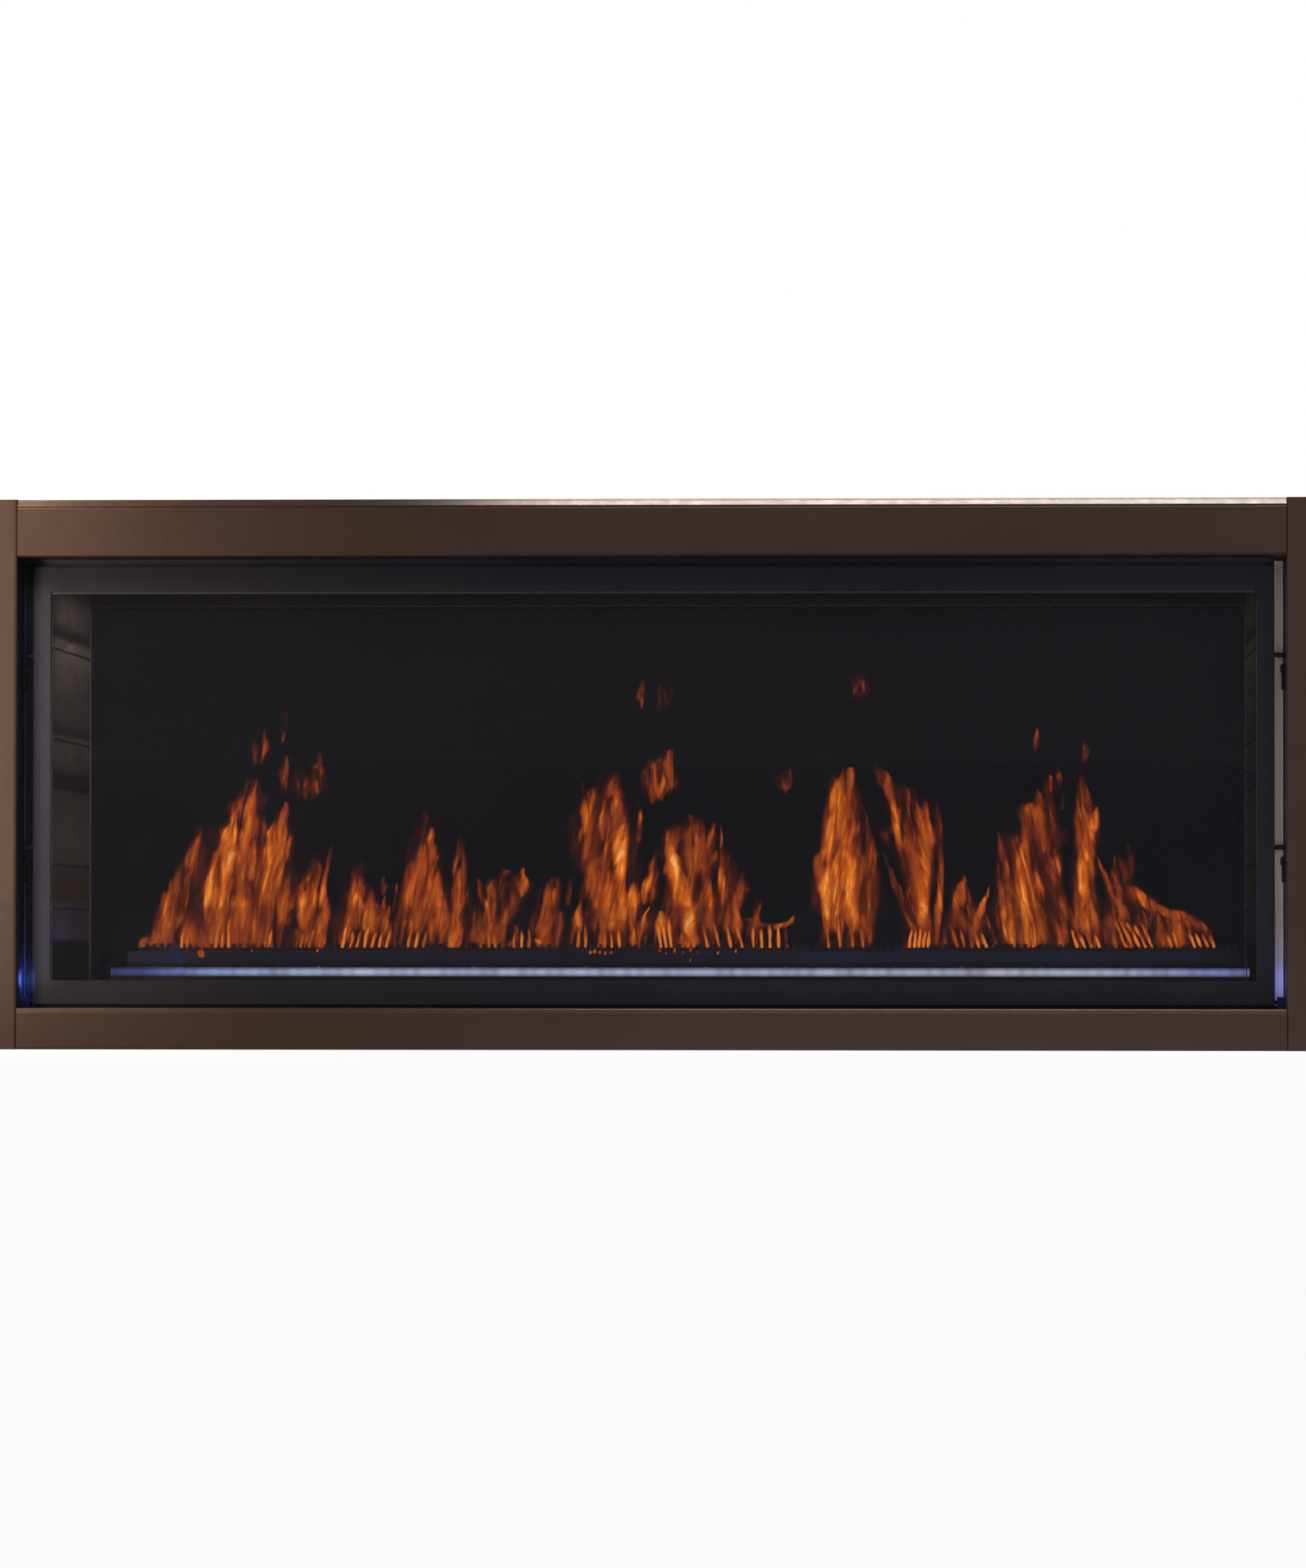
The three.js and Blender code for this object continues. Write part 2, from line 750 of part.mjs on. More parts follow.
// The access cover hangs from pins in the end casing's lugs
function accessCover() {
  const leaf = block(
    [casingHalf + gap, casingHalf + gap + sheet],
    [-coverHalf, coverHalf],
    [accessBottom - coverLap, coverAxisZ],
  );
  const barrel = rod('y', coverBarrel, [coverAxisX, coverAxisZ], [-coverHalf, coverHalf], 16);
  const reach = coverHalf + lugLength;
  const pin = rod('y', smallPin, [coverAxisX, coverAxisZ], [-reach, reach], 16);
  return join(leaf, barrel, pin);
}

place('left_end_casing', endCasing(-1), 'steel');
place('right_end_casing', endCasing(1), 'steel');
place('access_cover', accessCover(), 'steel');
place('base_pan', block([-casingHalf, casingHalf], [plateY, -plateY], [panBottom, panTop]), 'steel');

function topCasing() {
  const top = block([-casingHalf, casingHalf], [plateY, -plateY], [casingTop - sheet, casingTop]);
  const through = [casingTop - sheet - overrun, casingTop + overrun];
  return carve(top, rod('z', flueOuter - flueWall, [0, 0], through, 48));
}

place('top_casing', topCasing(), 'steel');

// Base skids: folded channels that carry the base pan
function skid(centre) {
  const half = skidWidth / 2;
  const top = panBottom - gap;
  const outline = [
    [centre - half, 0],
    [centre + half, 0],
    [centre + half, top],
    [centre + half - sheet, top],
    [centre + half - sheet, sheet],
    [centre - half + sheet, sheet],
    [centre - half + sheet, top],
    [centre - half, top],
  ];
  return prism('y', outline, [plateY, -plateY]);
}

place('left_base_skid', skid(-casingHalf + skidInset), 'steel');
place('right_base_skid', skid(casingHalf - skidInset), 'steel');

// Gas valve with its inlet pipe, shut-off body and inlet nut
function gasValve() {
  const body = block([valveX, valveX + valveDepth], [valveFront, valveBack], [valveBottom, valveTop]);
  const end = casingHalf + inletReach;
  const down = rod('z', pipeRadius, [inletX, valveY], [inletHeight, valveBottom + joinDepth], 12);
  const out = rod('x', pipeRadius, [valveY, inletHeight], [inletX, end - joinDepth], 12);
  const elbow = new THREE.SphereGeometry(pipeRadius, 12, 8).translate(inletX, valveY, inletHeight);
  const shutoff = block(
    [inletX - shutoffHalf, inletX + shutoffHalf],
    [valveY - shutoffHalf, valveY + shutoffHalf],
    [shutoffHeight - shutoffHalf, shutoffHeight + shutoffHalf],
  );
  const nut = rod('x', nutRadius, [valveY, inletHeight], [end - nutLength, end], 6);
  const bore = rod('x', pipeBore, [valveY, inletHeight], [inletX + pipeRadius, end + overrun], 12);
  return carve(join(body, down, out, elbow, shutoff, nut), bore);
}

place('gas_valve', gasValve(), 'brass');

const knobX = valveX + valveDepth + gap;
const knobZ = (valveBottom + valveTop) / 2;

function knob() {
  const disc = rod('x', knobRadius, [valveY, knobZ], [knobX, knobX + knobDepth - knobRidge], 32);
  const ridge = block(
    [knobX, knobX + knobDepth],
    [valveY - knobRidge, valveY + knobRidge],
    [knobZ - knobRadius + knobRidge, knobZ + knobRadius - knobRidge],
  );
  return join(disc, ridge);
}

place('regulator_knob', knob(), 'plastic');

const leverX = inletX + shutoffHalf + gap;
const leverShape = leverOutline([valveY, shutoffHeight], leverHub, leverTip, leverLength);
place('shutoff_lever', prism('x', leverShape, [leverX, leverX + leverThickness]), 'brass');

// Manifold pipe: down from the valve, along under the floor, and up into both burner trays
function manifoldPipe() {
  const drop = rod('z', pipeRadius, [pipeX, manifoldY], [manifoldHeight, valveBottom - gap], 12);
  const run = rod('x', pipeRadius, [manifoldY, manifoldHeight], [leftRiser, pipeX], 12);
  const parts = [drop, run];
  for (const x of [pipeX, leftRiser]) {
    parts.push(new THREE.SphereGeometry(pipeRadius, 12, 8).translate(x, manifoldY, manifoldHeight));
  }
  for (const x of risers) {
    parts.push(rod('z', pipeRadius, [x, manifoldY], [manifoldHeight, floorTop + riserReach], 12));
  }
  return join(...parts);
}

place('manifold_pipe', manifoldPipe(), 'steel');

// Air shutter: a split sleeve on the manifold pipe, with a tab to turn it by
const shutterX = (rightRiser + pipeX) / 2;

function airShutter() {
  const inner = pipeRadius + gap;
  const outer = inner + shutterWall;
  const half = Math.PI * shutterShare;
  const shape = new THREE.Shape();
  shape.absarc(manifoldY, manifoldHeight, outer, Math.PI / 2 - half, Math.PI / 2 + half, false);
  shape.absarc(manifoldY, manifoldHeight, inner, Math.PI / 2 + half, Math.PI / 2 - half, true);
  shape.closePath();
  const span = [shutterX - shutterLength / 2, shutterX + shutterLength / 2];
  const tab = block(
    [shutterX - sheet, shutterX + sheet],
    [manifoldY - outer - shutterTab, manifoldY - outer + joinDepth],
    [manifoldHeight - sheet, manifoldHeight + sheet],
  );
  return join(prism('x', shape, span), tab);
}

place('air_shutter', airShutter(), 'steel');

// Control box with its rocker switch
const rockerAxisX = valveX + boxDepth;
const rockerAxisZ = (valveBottom + boxTop) / 2;
const rockerY = (boxFront + boxBack) / 2;

function controlBox() {
  const box = block([valveX, valveX + boxDepth], [boxFront, boxBack], [valveBottom, boxTop]);
  const halfY = rockerWidth / 2 + gap;
  const halfZ = Math.hypot(rockerHalf, rockerDepth) + gap;
  const pocket = block(
    [rockerAxisX - rockerDepth - rockerSweep - gap, rockerAxisX + overrun],
    [rockerY - halfY, rockerY + halfY],
    [rockerAxisZ - halfZ, rockerAxisZ + halfZ],
  );
  return carve(box, pocket);
}

place('control_box', controlBox(), 'plastic');

// The rocker's face is a shallow V, so that one half is always pressed in
function rocker() {
  const outline = [
    [rockerAxisX - rockerDepth, rockerAxisZ - rockerHalf],
    [rockerAxisX + rockerProud, rockerAxisZ - rockerHalf],
    [rockerAxisX, rockerAxisZ],
    [rockerAxisX + rockerProud / 2, rockerAxisZ + rockerHalf],
    [rockerAxisX - rockerDepth, rockerAxisZ + rockerHalf],
  ];
  return prism('y', outline, [rockerY - rockerWidth / 2, rockerY + rockerWidth / 2]);
}

place('rocker_switch', rocker(), 'plastic');

export default fireplace;
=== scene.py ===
# Double-sided linear gas fireplace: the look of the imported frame, its flames, stage and camera.
# All lengths are in metres. X runs left to right, Y from the front side to the rear side, Z up.
import bmesh
import bpy
import math
import random
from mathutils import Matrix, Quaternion, Vector


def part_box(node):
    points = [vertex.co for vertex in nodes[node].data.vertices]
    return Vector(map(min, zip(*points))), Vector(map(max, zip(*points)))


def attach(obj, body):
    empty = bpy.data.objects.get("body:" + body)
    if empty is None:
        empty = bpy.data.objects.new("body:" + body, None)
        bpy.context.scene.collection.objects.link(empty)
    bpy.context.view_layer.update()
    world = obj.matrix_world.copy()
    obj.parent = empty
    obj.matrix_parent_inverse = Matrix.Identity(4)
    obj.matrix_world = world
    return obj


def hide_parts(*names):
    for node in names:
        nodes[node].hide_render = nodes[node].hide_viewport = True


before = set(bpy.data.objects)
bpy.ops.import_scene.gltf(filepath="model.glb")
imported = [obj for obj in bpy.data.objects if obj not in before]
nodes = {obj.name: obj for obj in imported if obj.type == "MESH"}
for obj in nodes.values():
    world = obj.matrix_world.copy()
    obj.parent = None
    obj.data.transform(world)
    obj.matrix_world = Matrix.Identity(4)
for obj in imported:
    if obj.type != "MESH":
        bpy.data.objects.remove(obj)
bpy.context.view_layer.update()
scene = bpy.context.scene
SIDES = ("front", "rear")
# The way along Y from each side's face into the object
INWARDS = {"front": 1.0, "rear": -1.0}

# Camera
# The photograph's camera, its focal length in pixels of the 1706 x 2048 image. It stands to the right
# of the middle and turns to the object, without lens shift.
EYE = Vector((0.4177, -9.2344, 0.1321))
FOCAL = 9355.2
IMAGE_W, IMAGE_H = 1706.0, 2048.0
YAW, PITCH, ROLL = 0.046034, 0.022446, 0.000748
SENSOR_MM = 36.0
NEAREST, FARTHEST = 0.1, 300.0
# The flames are many see-through layers, and a ray has to pass them all
SEE_THROUGH_LAYERS = 64

lens = bpy.data.cameras.new("camera")
lens.sensor_width = SENSOR_MM
lens.lens = FOCAL * SENSOR_MM / IMAGE_H
lens.clip_start, lens.clip_end = NEAREST, FARTHEST
camera = bpy.data.objects.new("camera", lens)
scene.collection.objects.link(camera)
camera.location = EYE
camera.rotation_mode = "QUATERNION"
camera.rotation_quaternion = (Quaternion((0, 0, 1), YAW) @ Quaternion((1, 0, 0), math.pi / 2 + PITCH)
                              @ Quaternion((0, 0, 1), ROLL))
scene.camera = camera
scene.view_settings.view_transform = "Standard"
scene.cycles.transparent_max_bounces = SEE_THROUGH_LAYERS


def seen(px, py, y):
    """The point at depth y that the photograph shows at pixel (px, py)."""
    right, up = (px - IMAGE_W / 2) / FOCAL, (IMAGE_H / 2 - py) / FOCAL
    ray = camera.rotation_quaternion @ Vector((right, up, -1.0))
    return EYE + ray * ((y - EYE.y) / ray.y)


# Node and mesh helpers
# Most of a noise texture's values lie between these two
NOISE_LOW, NOISE_HIGH = 0.3, 0.7


class Look:
    """The node tree of a material or world, its owner, and short ways to add to it."""

    def __init__(self, name, world=False):
        self.owner = (bpy.data.worlds if world else bpy.data.materials).new(name)
        self.owner.use_nodes = True
        self.tree = self.owner.node_tree
        self.tree.nodes.clear()
        self.out = self.tree.nodes.new("ShaderNodeOutputWorld" if world else "ShaderNodeOutputMaterial")
        self.coords = None

    def add(self, kind, inputs=None, **settings):
        node = self.tree.nodes.new("ShaderNode" + kind)
        for key, value in settings.items():
            setattr(node, key, value)
        for key, value in (inputs or {}).items():
            self.put(node.inputs[key], value)
        return node

    def put(self, socket, value):
        if isinstance(value, bpy.types.NodeSocket):
            self.tree.links.new(value, socket)
        elif socket.type == "RGBA" and len(value) == 3:
            socket.default_value = (*value, 1.0)
        else:
            socket.default_value = value

    def place(self, scale=(1, 1, 1)):
        """Object coordinates in metres, stretched by scale."""
        if self.coords is None:
            self.coords = self.add("TexCoord").outputs["Object"]
        return self.add("Mapping", {"Vector": self.coords, "Scale": scale}).outputs["Vector"]

    def along(self, axis):
        """The place along X, Y or Z, in metres."""
        return self.add("SeparateXYZ", {"Vector": self.place()}).outputs[axis]

    def noise(self, scale, detail=3.0, rough=0.5, stretch=(1, 1, 1)):
        return self.add("TexNoise", {"Vector": self.place(stretch), "Scale": scale,
                                     "Detail": detail, "Roughness": rough}).outputs["Fac"]

    def cells(self, scale, output="Distance"):
        return self.add("TexVoronoi", {"Vector": self.place(), "Scale": scale}).outputs[output]

    def cell_tones(self, scale):
        """A grey of its own for each cell."""
        return self.add("RGBToBW", {"Color": self.cells(scale, "Color")}).outputs[0]

    def math(self, operation, a, b=0.0, clamp=False):
        node = self.add("Math", operation=operation, use_clamp=clamp)
        self.put(node.inputs[0], a)
        self.put(node.inputs[1], b)
        return node.outputs[0]

    def product(self, a, b, clamp=False):
        return self.math("MULTIPLY", a, b, clamp)

    def total(self, a, b, clamp=False):
        return self.math("ADD", a, b, clamp)

    def ramp(self, factor, *stops, mode="LINEAR"):
        node = self.add("ValToRGB", {"Fac": factor})
        node.color_ramp.interpolation = mode
        elements = node.color_ramp.elements
        while len(elements) < len(stops):
            elements.new(0.5)
        for element, (at, colour) in zip(elements, stops):
            element.position = at
            if not isinstance(colour, tuple):
                colour = (colour,) * 3
            element.color = (*colour, 1.0)
        return node.outputs["Color"]

    def span(self, factor, low, high, start=0.0, end=1.0):
        return self.add("MapRange", {"Value": factor, "From Min": start, "From Max": end,
                                     "To Min": low, "To Max": high}).outputs["Result"]

    def vary(self, noise, low, high):
        """A number from low to high, over the values that a noise mostly has."""
        return self.span(noise, low, high, NOISE_LOW, NOISE_HIGH)

    def shades(self, noise, first, last):
        """A colour from first to last, over the values that a noise mostly has."""
        return self.ramp(noise, (NOISE_LOW, first), (NOISE_HIGH, last))

    def mix(self, factor, a, b, blend="MIX"):
        inputs = {"Fac": factor, "Color1": a, "Color2": b}
        return self.add("MixRGB", inputs, blend_type=blend).outputs["Color"]

    def times(self, a, b):
        return self.mix(1.0, a, b, "MULTIPLY")

    def bump(self, height, strength, distance):
        inputs = {"Height": height, "Strength": strength, "Distance": distance}
        return self.add("Bump", inputs).outputs["Normal"]

    def principled(self, **inputs):
        """Finishes the material as one Principled shader, whose sockets are named by keywords."""
        names = {key: key.replace("_", " ").title() for key in inputs}
        names["specular"] = "Specular IOR Level"
        shader = self.add("BsdfPrincipled", {names[key]: value for key, value in inputs.items()})
        return self.finish(shader.outputs[0])

    def mix_shaders(self, factor, first, second):
        node = self.add("MixShader", {"Fac": factor})
        self.put(node.inputs[1], first)
        self.put(node.inputs[2], second)
        return node.outputs[0]

    def finish(self, shader):
        """Sends the shader to the output, and gives back the material or world."""
        self.put(self.out.inputs["Surface"], shader)
        return self.owner


def srgb(*channels):
    """A colour of 0 to 255 per channel as linear values."""
    shares = [channel / 255.0 for channel in channels]
    return tuple(v / 12.92 if v <= 0.04045 else ((v + 0.055) / 1.055) ** 2.4 for v in shares)


def shade(colour, factor):
    return tuple(min(1.0, c * factor) for c in colour)


def new_object(name, points, faces, material):
    """An object at the origin, built from points and faces."""
    data = bpy.data.meshes.new(name)
    data.from_pydata([tuple(p) for p in points], [], faces)
    data.validate()
    data.update()
    data.materials.append(material)
    obj = bpy.data.objects.new(name, data)
    scene.collection.objects.link(obj)
    return obj


def mesh_piece(name, points, faces, material, body="firebox", smooth=False):
    """A new piece that rides on a body."""
    obj = new_object(name, points, faces, material)
    if smooth:
        obj.data.polygons.foreach_set("use_smooth", [True] * len(faces))
    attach(obj, body)
    return obj


def paint(name, material):
    """Gives a CAD node its material."""
    data = nodes[name].data
    if not data.materials:
        data.materials.append(material)
    for i in range(len(data.materials)):
        data.materials[i] = material


def tube_faces(rings, n):
    """The faces of a closed tube of rings of n points each."""
    faces = [(a + i, a + (i + 1) % n, a + n + (i + 1) % n, a + n + i)
             for a in range(0, (rings - 1) * n, n) for i in range(n)]
    return faces + [tuple(range(n))[::-1], tuple(range((rings - 1) * n, rings * n))]


def sweep(outline, start, end, axis):
    """A closed bar: an outline of (y, z) for axis x, or (x, y) for axis z, between two ends."""
    points = [(at, a, b) if axis == "x" else (a, b, at) for at in (start, end) for a, b in outline]
    return points, tube_faces(2, len(outline))


def recalc(obj):
    """Turns all faces outwards."""
    bm = bmesh.new()
    bm.from_mesh(obj.data)
    bmesh.ops.recalc_face_normals(bm, faces=bm.faces)
    bm.to_mesh(obj.data)
    bm.free()
    return obj


# Materials
def metal_paint(name, colour, rough, specular, speckle=0.1):
    """Sprayed paint on sheet: fine orange peel, faint mottling and dust."""
    look = Look(name)
    broad = look.noise(6.0, 4.0, 0.6)
    fine = look.noise(420.0, 2.0, 0.5)
    dust = look.math("GREATER_THAN", look.noise(900.0, 1.0, 0.5), 0.69)
    base = look.shades(broad, shade(colour, 1 - speckle), shade(colour, 1 + speckle))
    base = look.mix(look.product(dust, 0.25), base, shade(colour, 1.8))
    roughness = look.vary(look.noise(38.0, 3.0, 0.6), rough - 0.05, rough + 0.07)
    return look.principled(
        base_color=base, roughness=roughness, specular=specular, normal=look.bump(fine, 0.06, 0.0006))


def brushed_steel(colour, rough):
    """Brushed or rolled sheet, with grain along X."""
    look = Look("brushed_steel")
    grain = look.noise(3.0, 4.0, 0.65, (4, 220, 220))
    cloud = look.noise(5.0, 4.0, 0.6)
    base = look.shades(grain, shade(colour, 0.82), shade(colour, 1.14))
    base = look.mix(look.span(cloud, 0.0, 0.35, 0.4, 0.7), base, shade(colour, 0.7))
    return look.principled(
        base_color=base, metallic=0.85, specular=0.3, roughness=look.vary(grain, rough - 0.06, rough + 0.1),
        normal=look.bump(grain, 0.12, 0.0005))


def galvanised():
    """Galvanised sheet with its spangle and a few dull patches."""
    look = Look("galvanised_sheet")
    tone = look.cell_tones(62.0)
    cloud = look.noise(3.5, 5.0, 0.6)
    base = look.ramp(tone, (0.15, (0.27, 0.275, 0.28)), (0.85, (0.42, 0.425, 0.43)))
    base = look.mix(look.span(cloud, 0.0, 0.5, 0.45, 0.7), base, (0.22, 0.22, 0.22))
    return look.principled(
        base_color=base, metallic=0.75, specular=0.4, roughness=look.span(tone, 0.36, 0.56),
        normal=look.bump(look.noise(25.0, 3.0), 0.05, 0.001))


BRONZE = srgb(50, 36, 31)


def bronze():
    """Satin brown-bronze: fine metallic flake, soft mottling, slightly rubbed roughness."""
    look = Look("satin_bronze")
    broad = look.noise(3.0, 5.0, 0.6, (1, 1, 1.6))
    flake = look.cell_tones(2600.0)
    rub = look.noise(60.0, 4.0, 0.6)
    base = look.shades(broad, shade(BRONZE, 0.9), shade(BRONZE, 1.1))
    base = look.mix(look.span(flake, 0.0, 0.22, 0.5, 1.0), base, shade(BRONZE, 1.7))
    return look.principled(
        base_color=base, metallic=0.22, specular=0.12, roughness=look.vary(rub, 0.33, 0.43),
        normal=look.bump(look.noise(300.0, 2.0), 0.05, 0.0005))


def pane_glass():
    """Smoked ceramic glass with a faint uneven film of haze, wiped upright."""
    look = Look("smoked_ceramic_glass")
    haze = look.noise(4.0, 5.0, 0.6, (1, 1, 2.2))
    wipe = look.noise(2.0, 3.0, 0.55, (12, 12, 1.5))
    alpha = look.total(look.vary(haze, 0.445, 0.46), look.span(wipe, 0.0, 0.006, 0.4, 0.7))
    return look.principled(
        base_color=look.shades(haze, (0.004, 0.004, 0.006), (0.006, 0.006, 0.008)),
        roughness=look.span(wipe, 0.03, 0.09, 0.4, 0.7), specular=0.1, alpha=alpha)


def guard_glass():
    """Clear tempered glass: nearly all light goes through; its film shows slightly, and its ends are pale
    blue and less clear, partly the edge's own tint and partly a painted highlight.
    """
    look = Look("clear_guard_glass")
    film = look.noise(9.0, 4.0, 0.6)
    # The rim band at the ends: partly the glass edge's own tint, partly a painted highlight
    rim_width = 0.0012
    rim = look.math("GREATER_THAN", look.math("ABSOLUTE", look.along("X")),
                    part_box("front_wind_guard")[1].x - rim_width)
    base = look.shades(film, (0.02, 0.03, 0.05), (0.05, 0.06, 0.09))
    alpha = look.total(look.vary(film, 0.07, 0.11), look.product(rim, 0.6))
    return look.principled(
        base_color=look.mix(rim, base, (0.16, 0.2, 0.34)), roughness=look.vary(film, 0.04, 0.12),
        specular=0.25, alpha=alpha)


def stone(name, painted_shade_factor):
    """Cast liner stone: rough, each course of its own tone with dark joints, and painted light by height;
    its factor darkens a copy as painted shade.
    """
    look = Look(name)
    coarse = look.noise(11.0, 6.0, 0.65, (1, 1, 2.5))
    fine = look.noise(160.0, 5.0, 0.7)
    pores = look.cells(260.0)
    # The factor darkens the whole stone: below 1 it is painted shade, for the right liner
    warm, dark = shade((0.26, 0.216, 0.194), painted_shade_factor), shade((0.13, 0.112, 0.106), painted_shade_factor)
    base = look.ramp(coarse, (0.28, dark), (0.52, shade(warm, 0.85)), (0.75, shade(warm, 1.35)))
    base = look.mix(look.span(fine, 0.35, 0.0, 0.3, 0.6), base, shade(dark, 0.6))
    up = look.total(look.along("Z"), look.vary(coarse, -0.002, 0.002))
    lowest, highest = 0.07, 0.6
    # Painted light by height: painted navy shade low down, a painted violet glow of the light bar and a
    # painted amber glow of the flames above it; the courses are lighter or darker across their height and
    # lighter towards the top, also painted light.
    painted_navy_shade, painted_violet_glow, painted_amber_glow = (0.012, 0.012, 0.035), (0.33, 0.28, 0.6), (0.25, 0.135, 0.025)
    place = look.span(up, 0.0, 1.0, lowest, highest)
    courses_and_painted_light = look.ramp(
        place, (0.0, painted_navy_shade), (0.122, painted_navy_shade), (0.132, painted_violet_glow), (0.213, (0.28, 0.24, 0.36)),
        (0.222, (0.25, 0.2, 0.28)), (0.23, painted_amber_glow), (0.246, painted_amber_glow), (0.275, 0.18), (0.37, 0.35),
        (0.484, 0.19), (0.496, 0.02), (0.532, 0.02), (0.543, 0.22), (0.618, 0.43), (0.626, 0.1),
        (0.642, 0.1), (0.65, 0.25), (0.735, 0.34), (0.787, 0.58), (0.815, 0.82), (0.85, 0.78),
        (0.858, 0.12), (0.874, 0.12), (0.892, 0.48), (0.97, 1.0))
    base = look.times(base, courses_and_painted_light)
    height = look.total(look.product(fine, 0.6), look.product(pores, 0.8))
    return look.principled(
        base_color=base, roughness=look.vary(fine, 0.78, 0.95), specular=0.05,
        normal=look.bump(height, 0.5, 0.0015))


def rope():
    """Woven glass rope: a diagonal braid."""
    look = Look("woven_gasket_rope")
    braid = look.add("TexWave", {"Vector": look.place(), "Scale": 90.0, "Distortion": 1.2,
                                 "Detail": 2.0}, bands_direction="DIAGONAL").outputs["Fac"]
    base = look.ramp(braid, (0.0, srgb(120, 114, 102)), (1.0, srgb(205, 199, 186)))
    return look.principled(
        base_color=base, roughness=0.93, specular=0.15, normal=look.bump(braid, 0.6, 0.001))


def led():
    """Frosted diffuser over a row of lamps: bright cells with slightly uneven joints."""
    look = Look("light_strip")
    lamps_per_metre, lens_low, lens_high, end = 60.0, 0.09, 0.104, 0.75
    cell = look.math("PINGPONG", look.product(look.along("X"), lamps_per_metre), 0.5)
    drift = look.noise(3.2, 4.0, 0.6, (1, 0, 0))
    flick = look.noise(26.0, 2.0, 0.5, (1, 0, 0))
    level = look.total(look.span(cell, 0.74, 1.0, 0.0, 0.5), look.vary(flick, -0.3, 0.26))
    tone = look.ramp(drift, (0.3, (0.44, 0.54, 0.95)), (0.5, (0.62, 0.7, 1.0)), (0.72, (0.82, 0.86, 1.0)))
    lit = look.times(tone, look.ramp(level, (0.0, 0.0), (1.0, 1.0)))
    up = look.ramp(look.span(look.along("Z"), 0.0, 1.0, lens_low, lens_high),
                   (0.1, 0.0), (0.24, 0.5), (0.45, 1.0), (0.62, 0.95), (0.8, 0.42), (1.0, 0.12))
    along = look.ramp(look.span(look.along("X"), 0.0, 1.0, -end, end), (0.02, (0.03, 0.04, 0.1)),
                      (0.07, (0.12, 0.17, 0.42)), (0.13, (0.66, 0.76, 0.96)), (0.17, (0.9, 0.99, 1.0)),
                      (0.5, 1.0), (0.78, (0.94, 0.89, 0.85)), (0.88, 0.97), (0.94, (0.68, 0.7, 0.84)),
                      (0.985, (0.5, 0.52, 0.77)))
    lit = look.times(lit, look.times(up, along))
    return look.principled(
        base_color=look.shades(drift, (0.05, 0.05, 0.06), (0.08, 0.08, 0.09)), roughness=0.5, specular=0.2,
        emission_color=lit, emission_strength=2.3)


def crushed():
    """Dark blue crushed glass, each chip of its own tone."""
    look = Look("crushed_glass")
    own = look.add("Attribute", attribute_name="tone").outputs["Fac"]
    vein = look.noise(140.0, 3.0, 0.6)
    base = look.ramp(own, (0.0, (0.01, 0.012, 0.022)), (0.6, (0.03, 0.04, 0.085)),
                     (1.0, (0.11, 0.14, 0.26)))
    base = look.mix(look.span(vein, 0.0, 0.4, 0.4, 0.7), base, (0.02, 0.024, 0.05))
    return look.principled(base_color=base, roughness=look.vary(vein, 0.08, 0.25), specular=0.5)


def bed_glass():
    """The mass of crushed glass under the loose chips."""
    look = Look("crushed_glass_bed")
    per_metre = 150.0
    tone, edge = look.cell_tones(per_metre), look.cells(per_metre)
    base = look.ramp(tone, (0.1, (0.008, 0.01, 0.018)), (0.9, (0.05, 0.065, 0.13)))
    return look.principled(
        base_color=base, roughness=look.span(tone, 0.12, 0.4), specular=0.5,
        normal=look.bump(edge, 0.8, 0.004))


def tray_steel(name, tone):
    """Rolled burner steel, blotched by heat, with painted shade in dark brown along its foot."""
    look = Look(name)
    grain = look.noise(3.0, 4.0, 0.65, (3, 200, 200))
    blotch = look.noise(9.0, 5.0, 0.65)
    warm = (tone[0] * 1.6, tone[1] * 1.2, tone[2])
    base = look.ramp(blotch, (0.3, shade(tone, 0.7)), (0.55, tone), (0.75, warm))
    base = look.mix(look.span(grain, 0.0, 0.3, 0.4, 0.7), base, shade(tone, 0.5))
    up = look.total(look.along("Z"), look.vary(blotch, -0.0016, 0.0016))
    # Painted shade: a dark brown band along the foot of the tray
    foot, brim = 0.1, 0.12
    painted_foot_shade = look.ramp(look.span(up, 0.0, 1.0, foot, brim), (0.35, 0.9), (0.6, 0.0))
    base = look.mix(painted_foot_shade, base, (0.03, 0.018, 0.016))
    return look.principled(
        base_color=base, metallic=0.35, specular=0.25, roughness=look.vary(grain, 0.42, 0.6),
        normal=look.bump(grain, 0.1, 0.0005))


def brass():
    """Cast brass with a slight tarnish."""
    look = Look("valve_brass")
    cloud = look.noise(30.0, 4.0, 0.6)
    cast = look.noise(500.0, 3.0, 0.6)
    base = look.shades(cloud, srgb(150, 116, 62), srgb(188, 152, 88))
    return look.principled(
        base_color=base, metallic=0.9, roughness=look.vary(cloud, 0.3, 0.46),
        normal=look.bump(cast, 0.15, 0.0006))


def plastic(name, colour, rough=0.5):
    """Moulded plastic with a fine grain."""
    look = Look(name)
    grain = look.cells(900.0)
    cloud = look.noise(12.0, 3.0, 0.5)
    base = look.shades(cloud, shade(colour, 0.88), shade(colour, 1.12))
    return look.principled(
        base_color=base, roughness=look.span(grain, rough - 0.06, rough + 0.08, 0.0, 0.5), specular=0.4,
        normal=look.bump(grain, 0.12, 0.0005))


FLAME_STRENGTH = 3.3


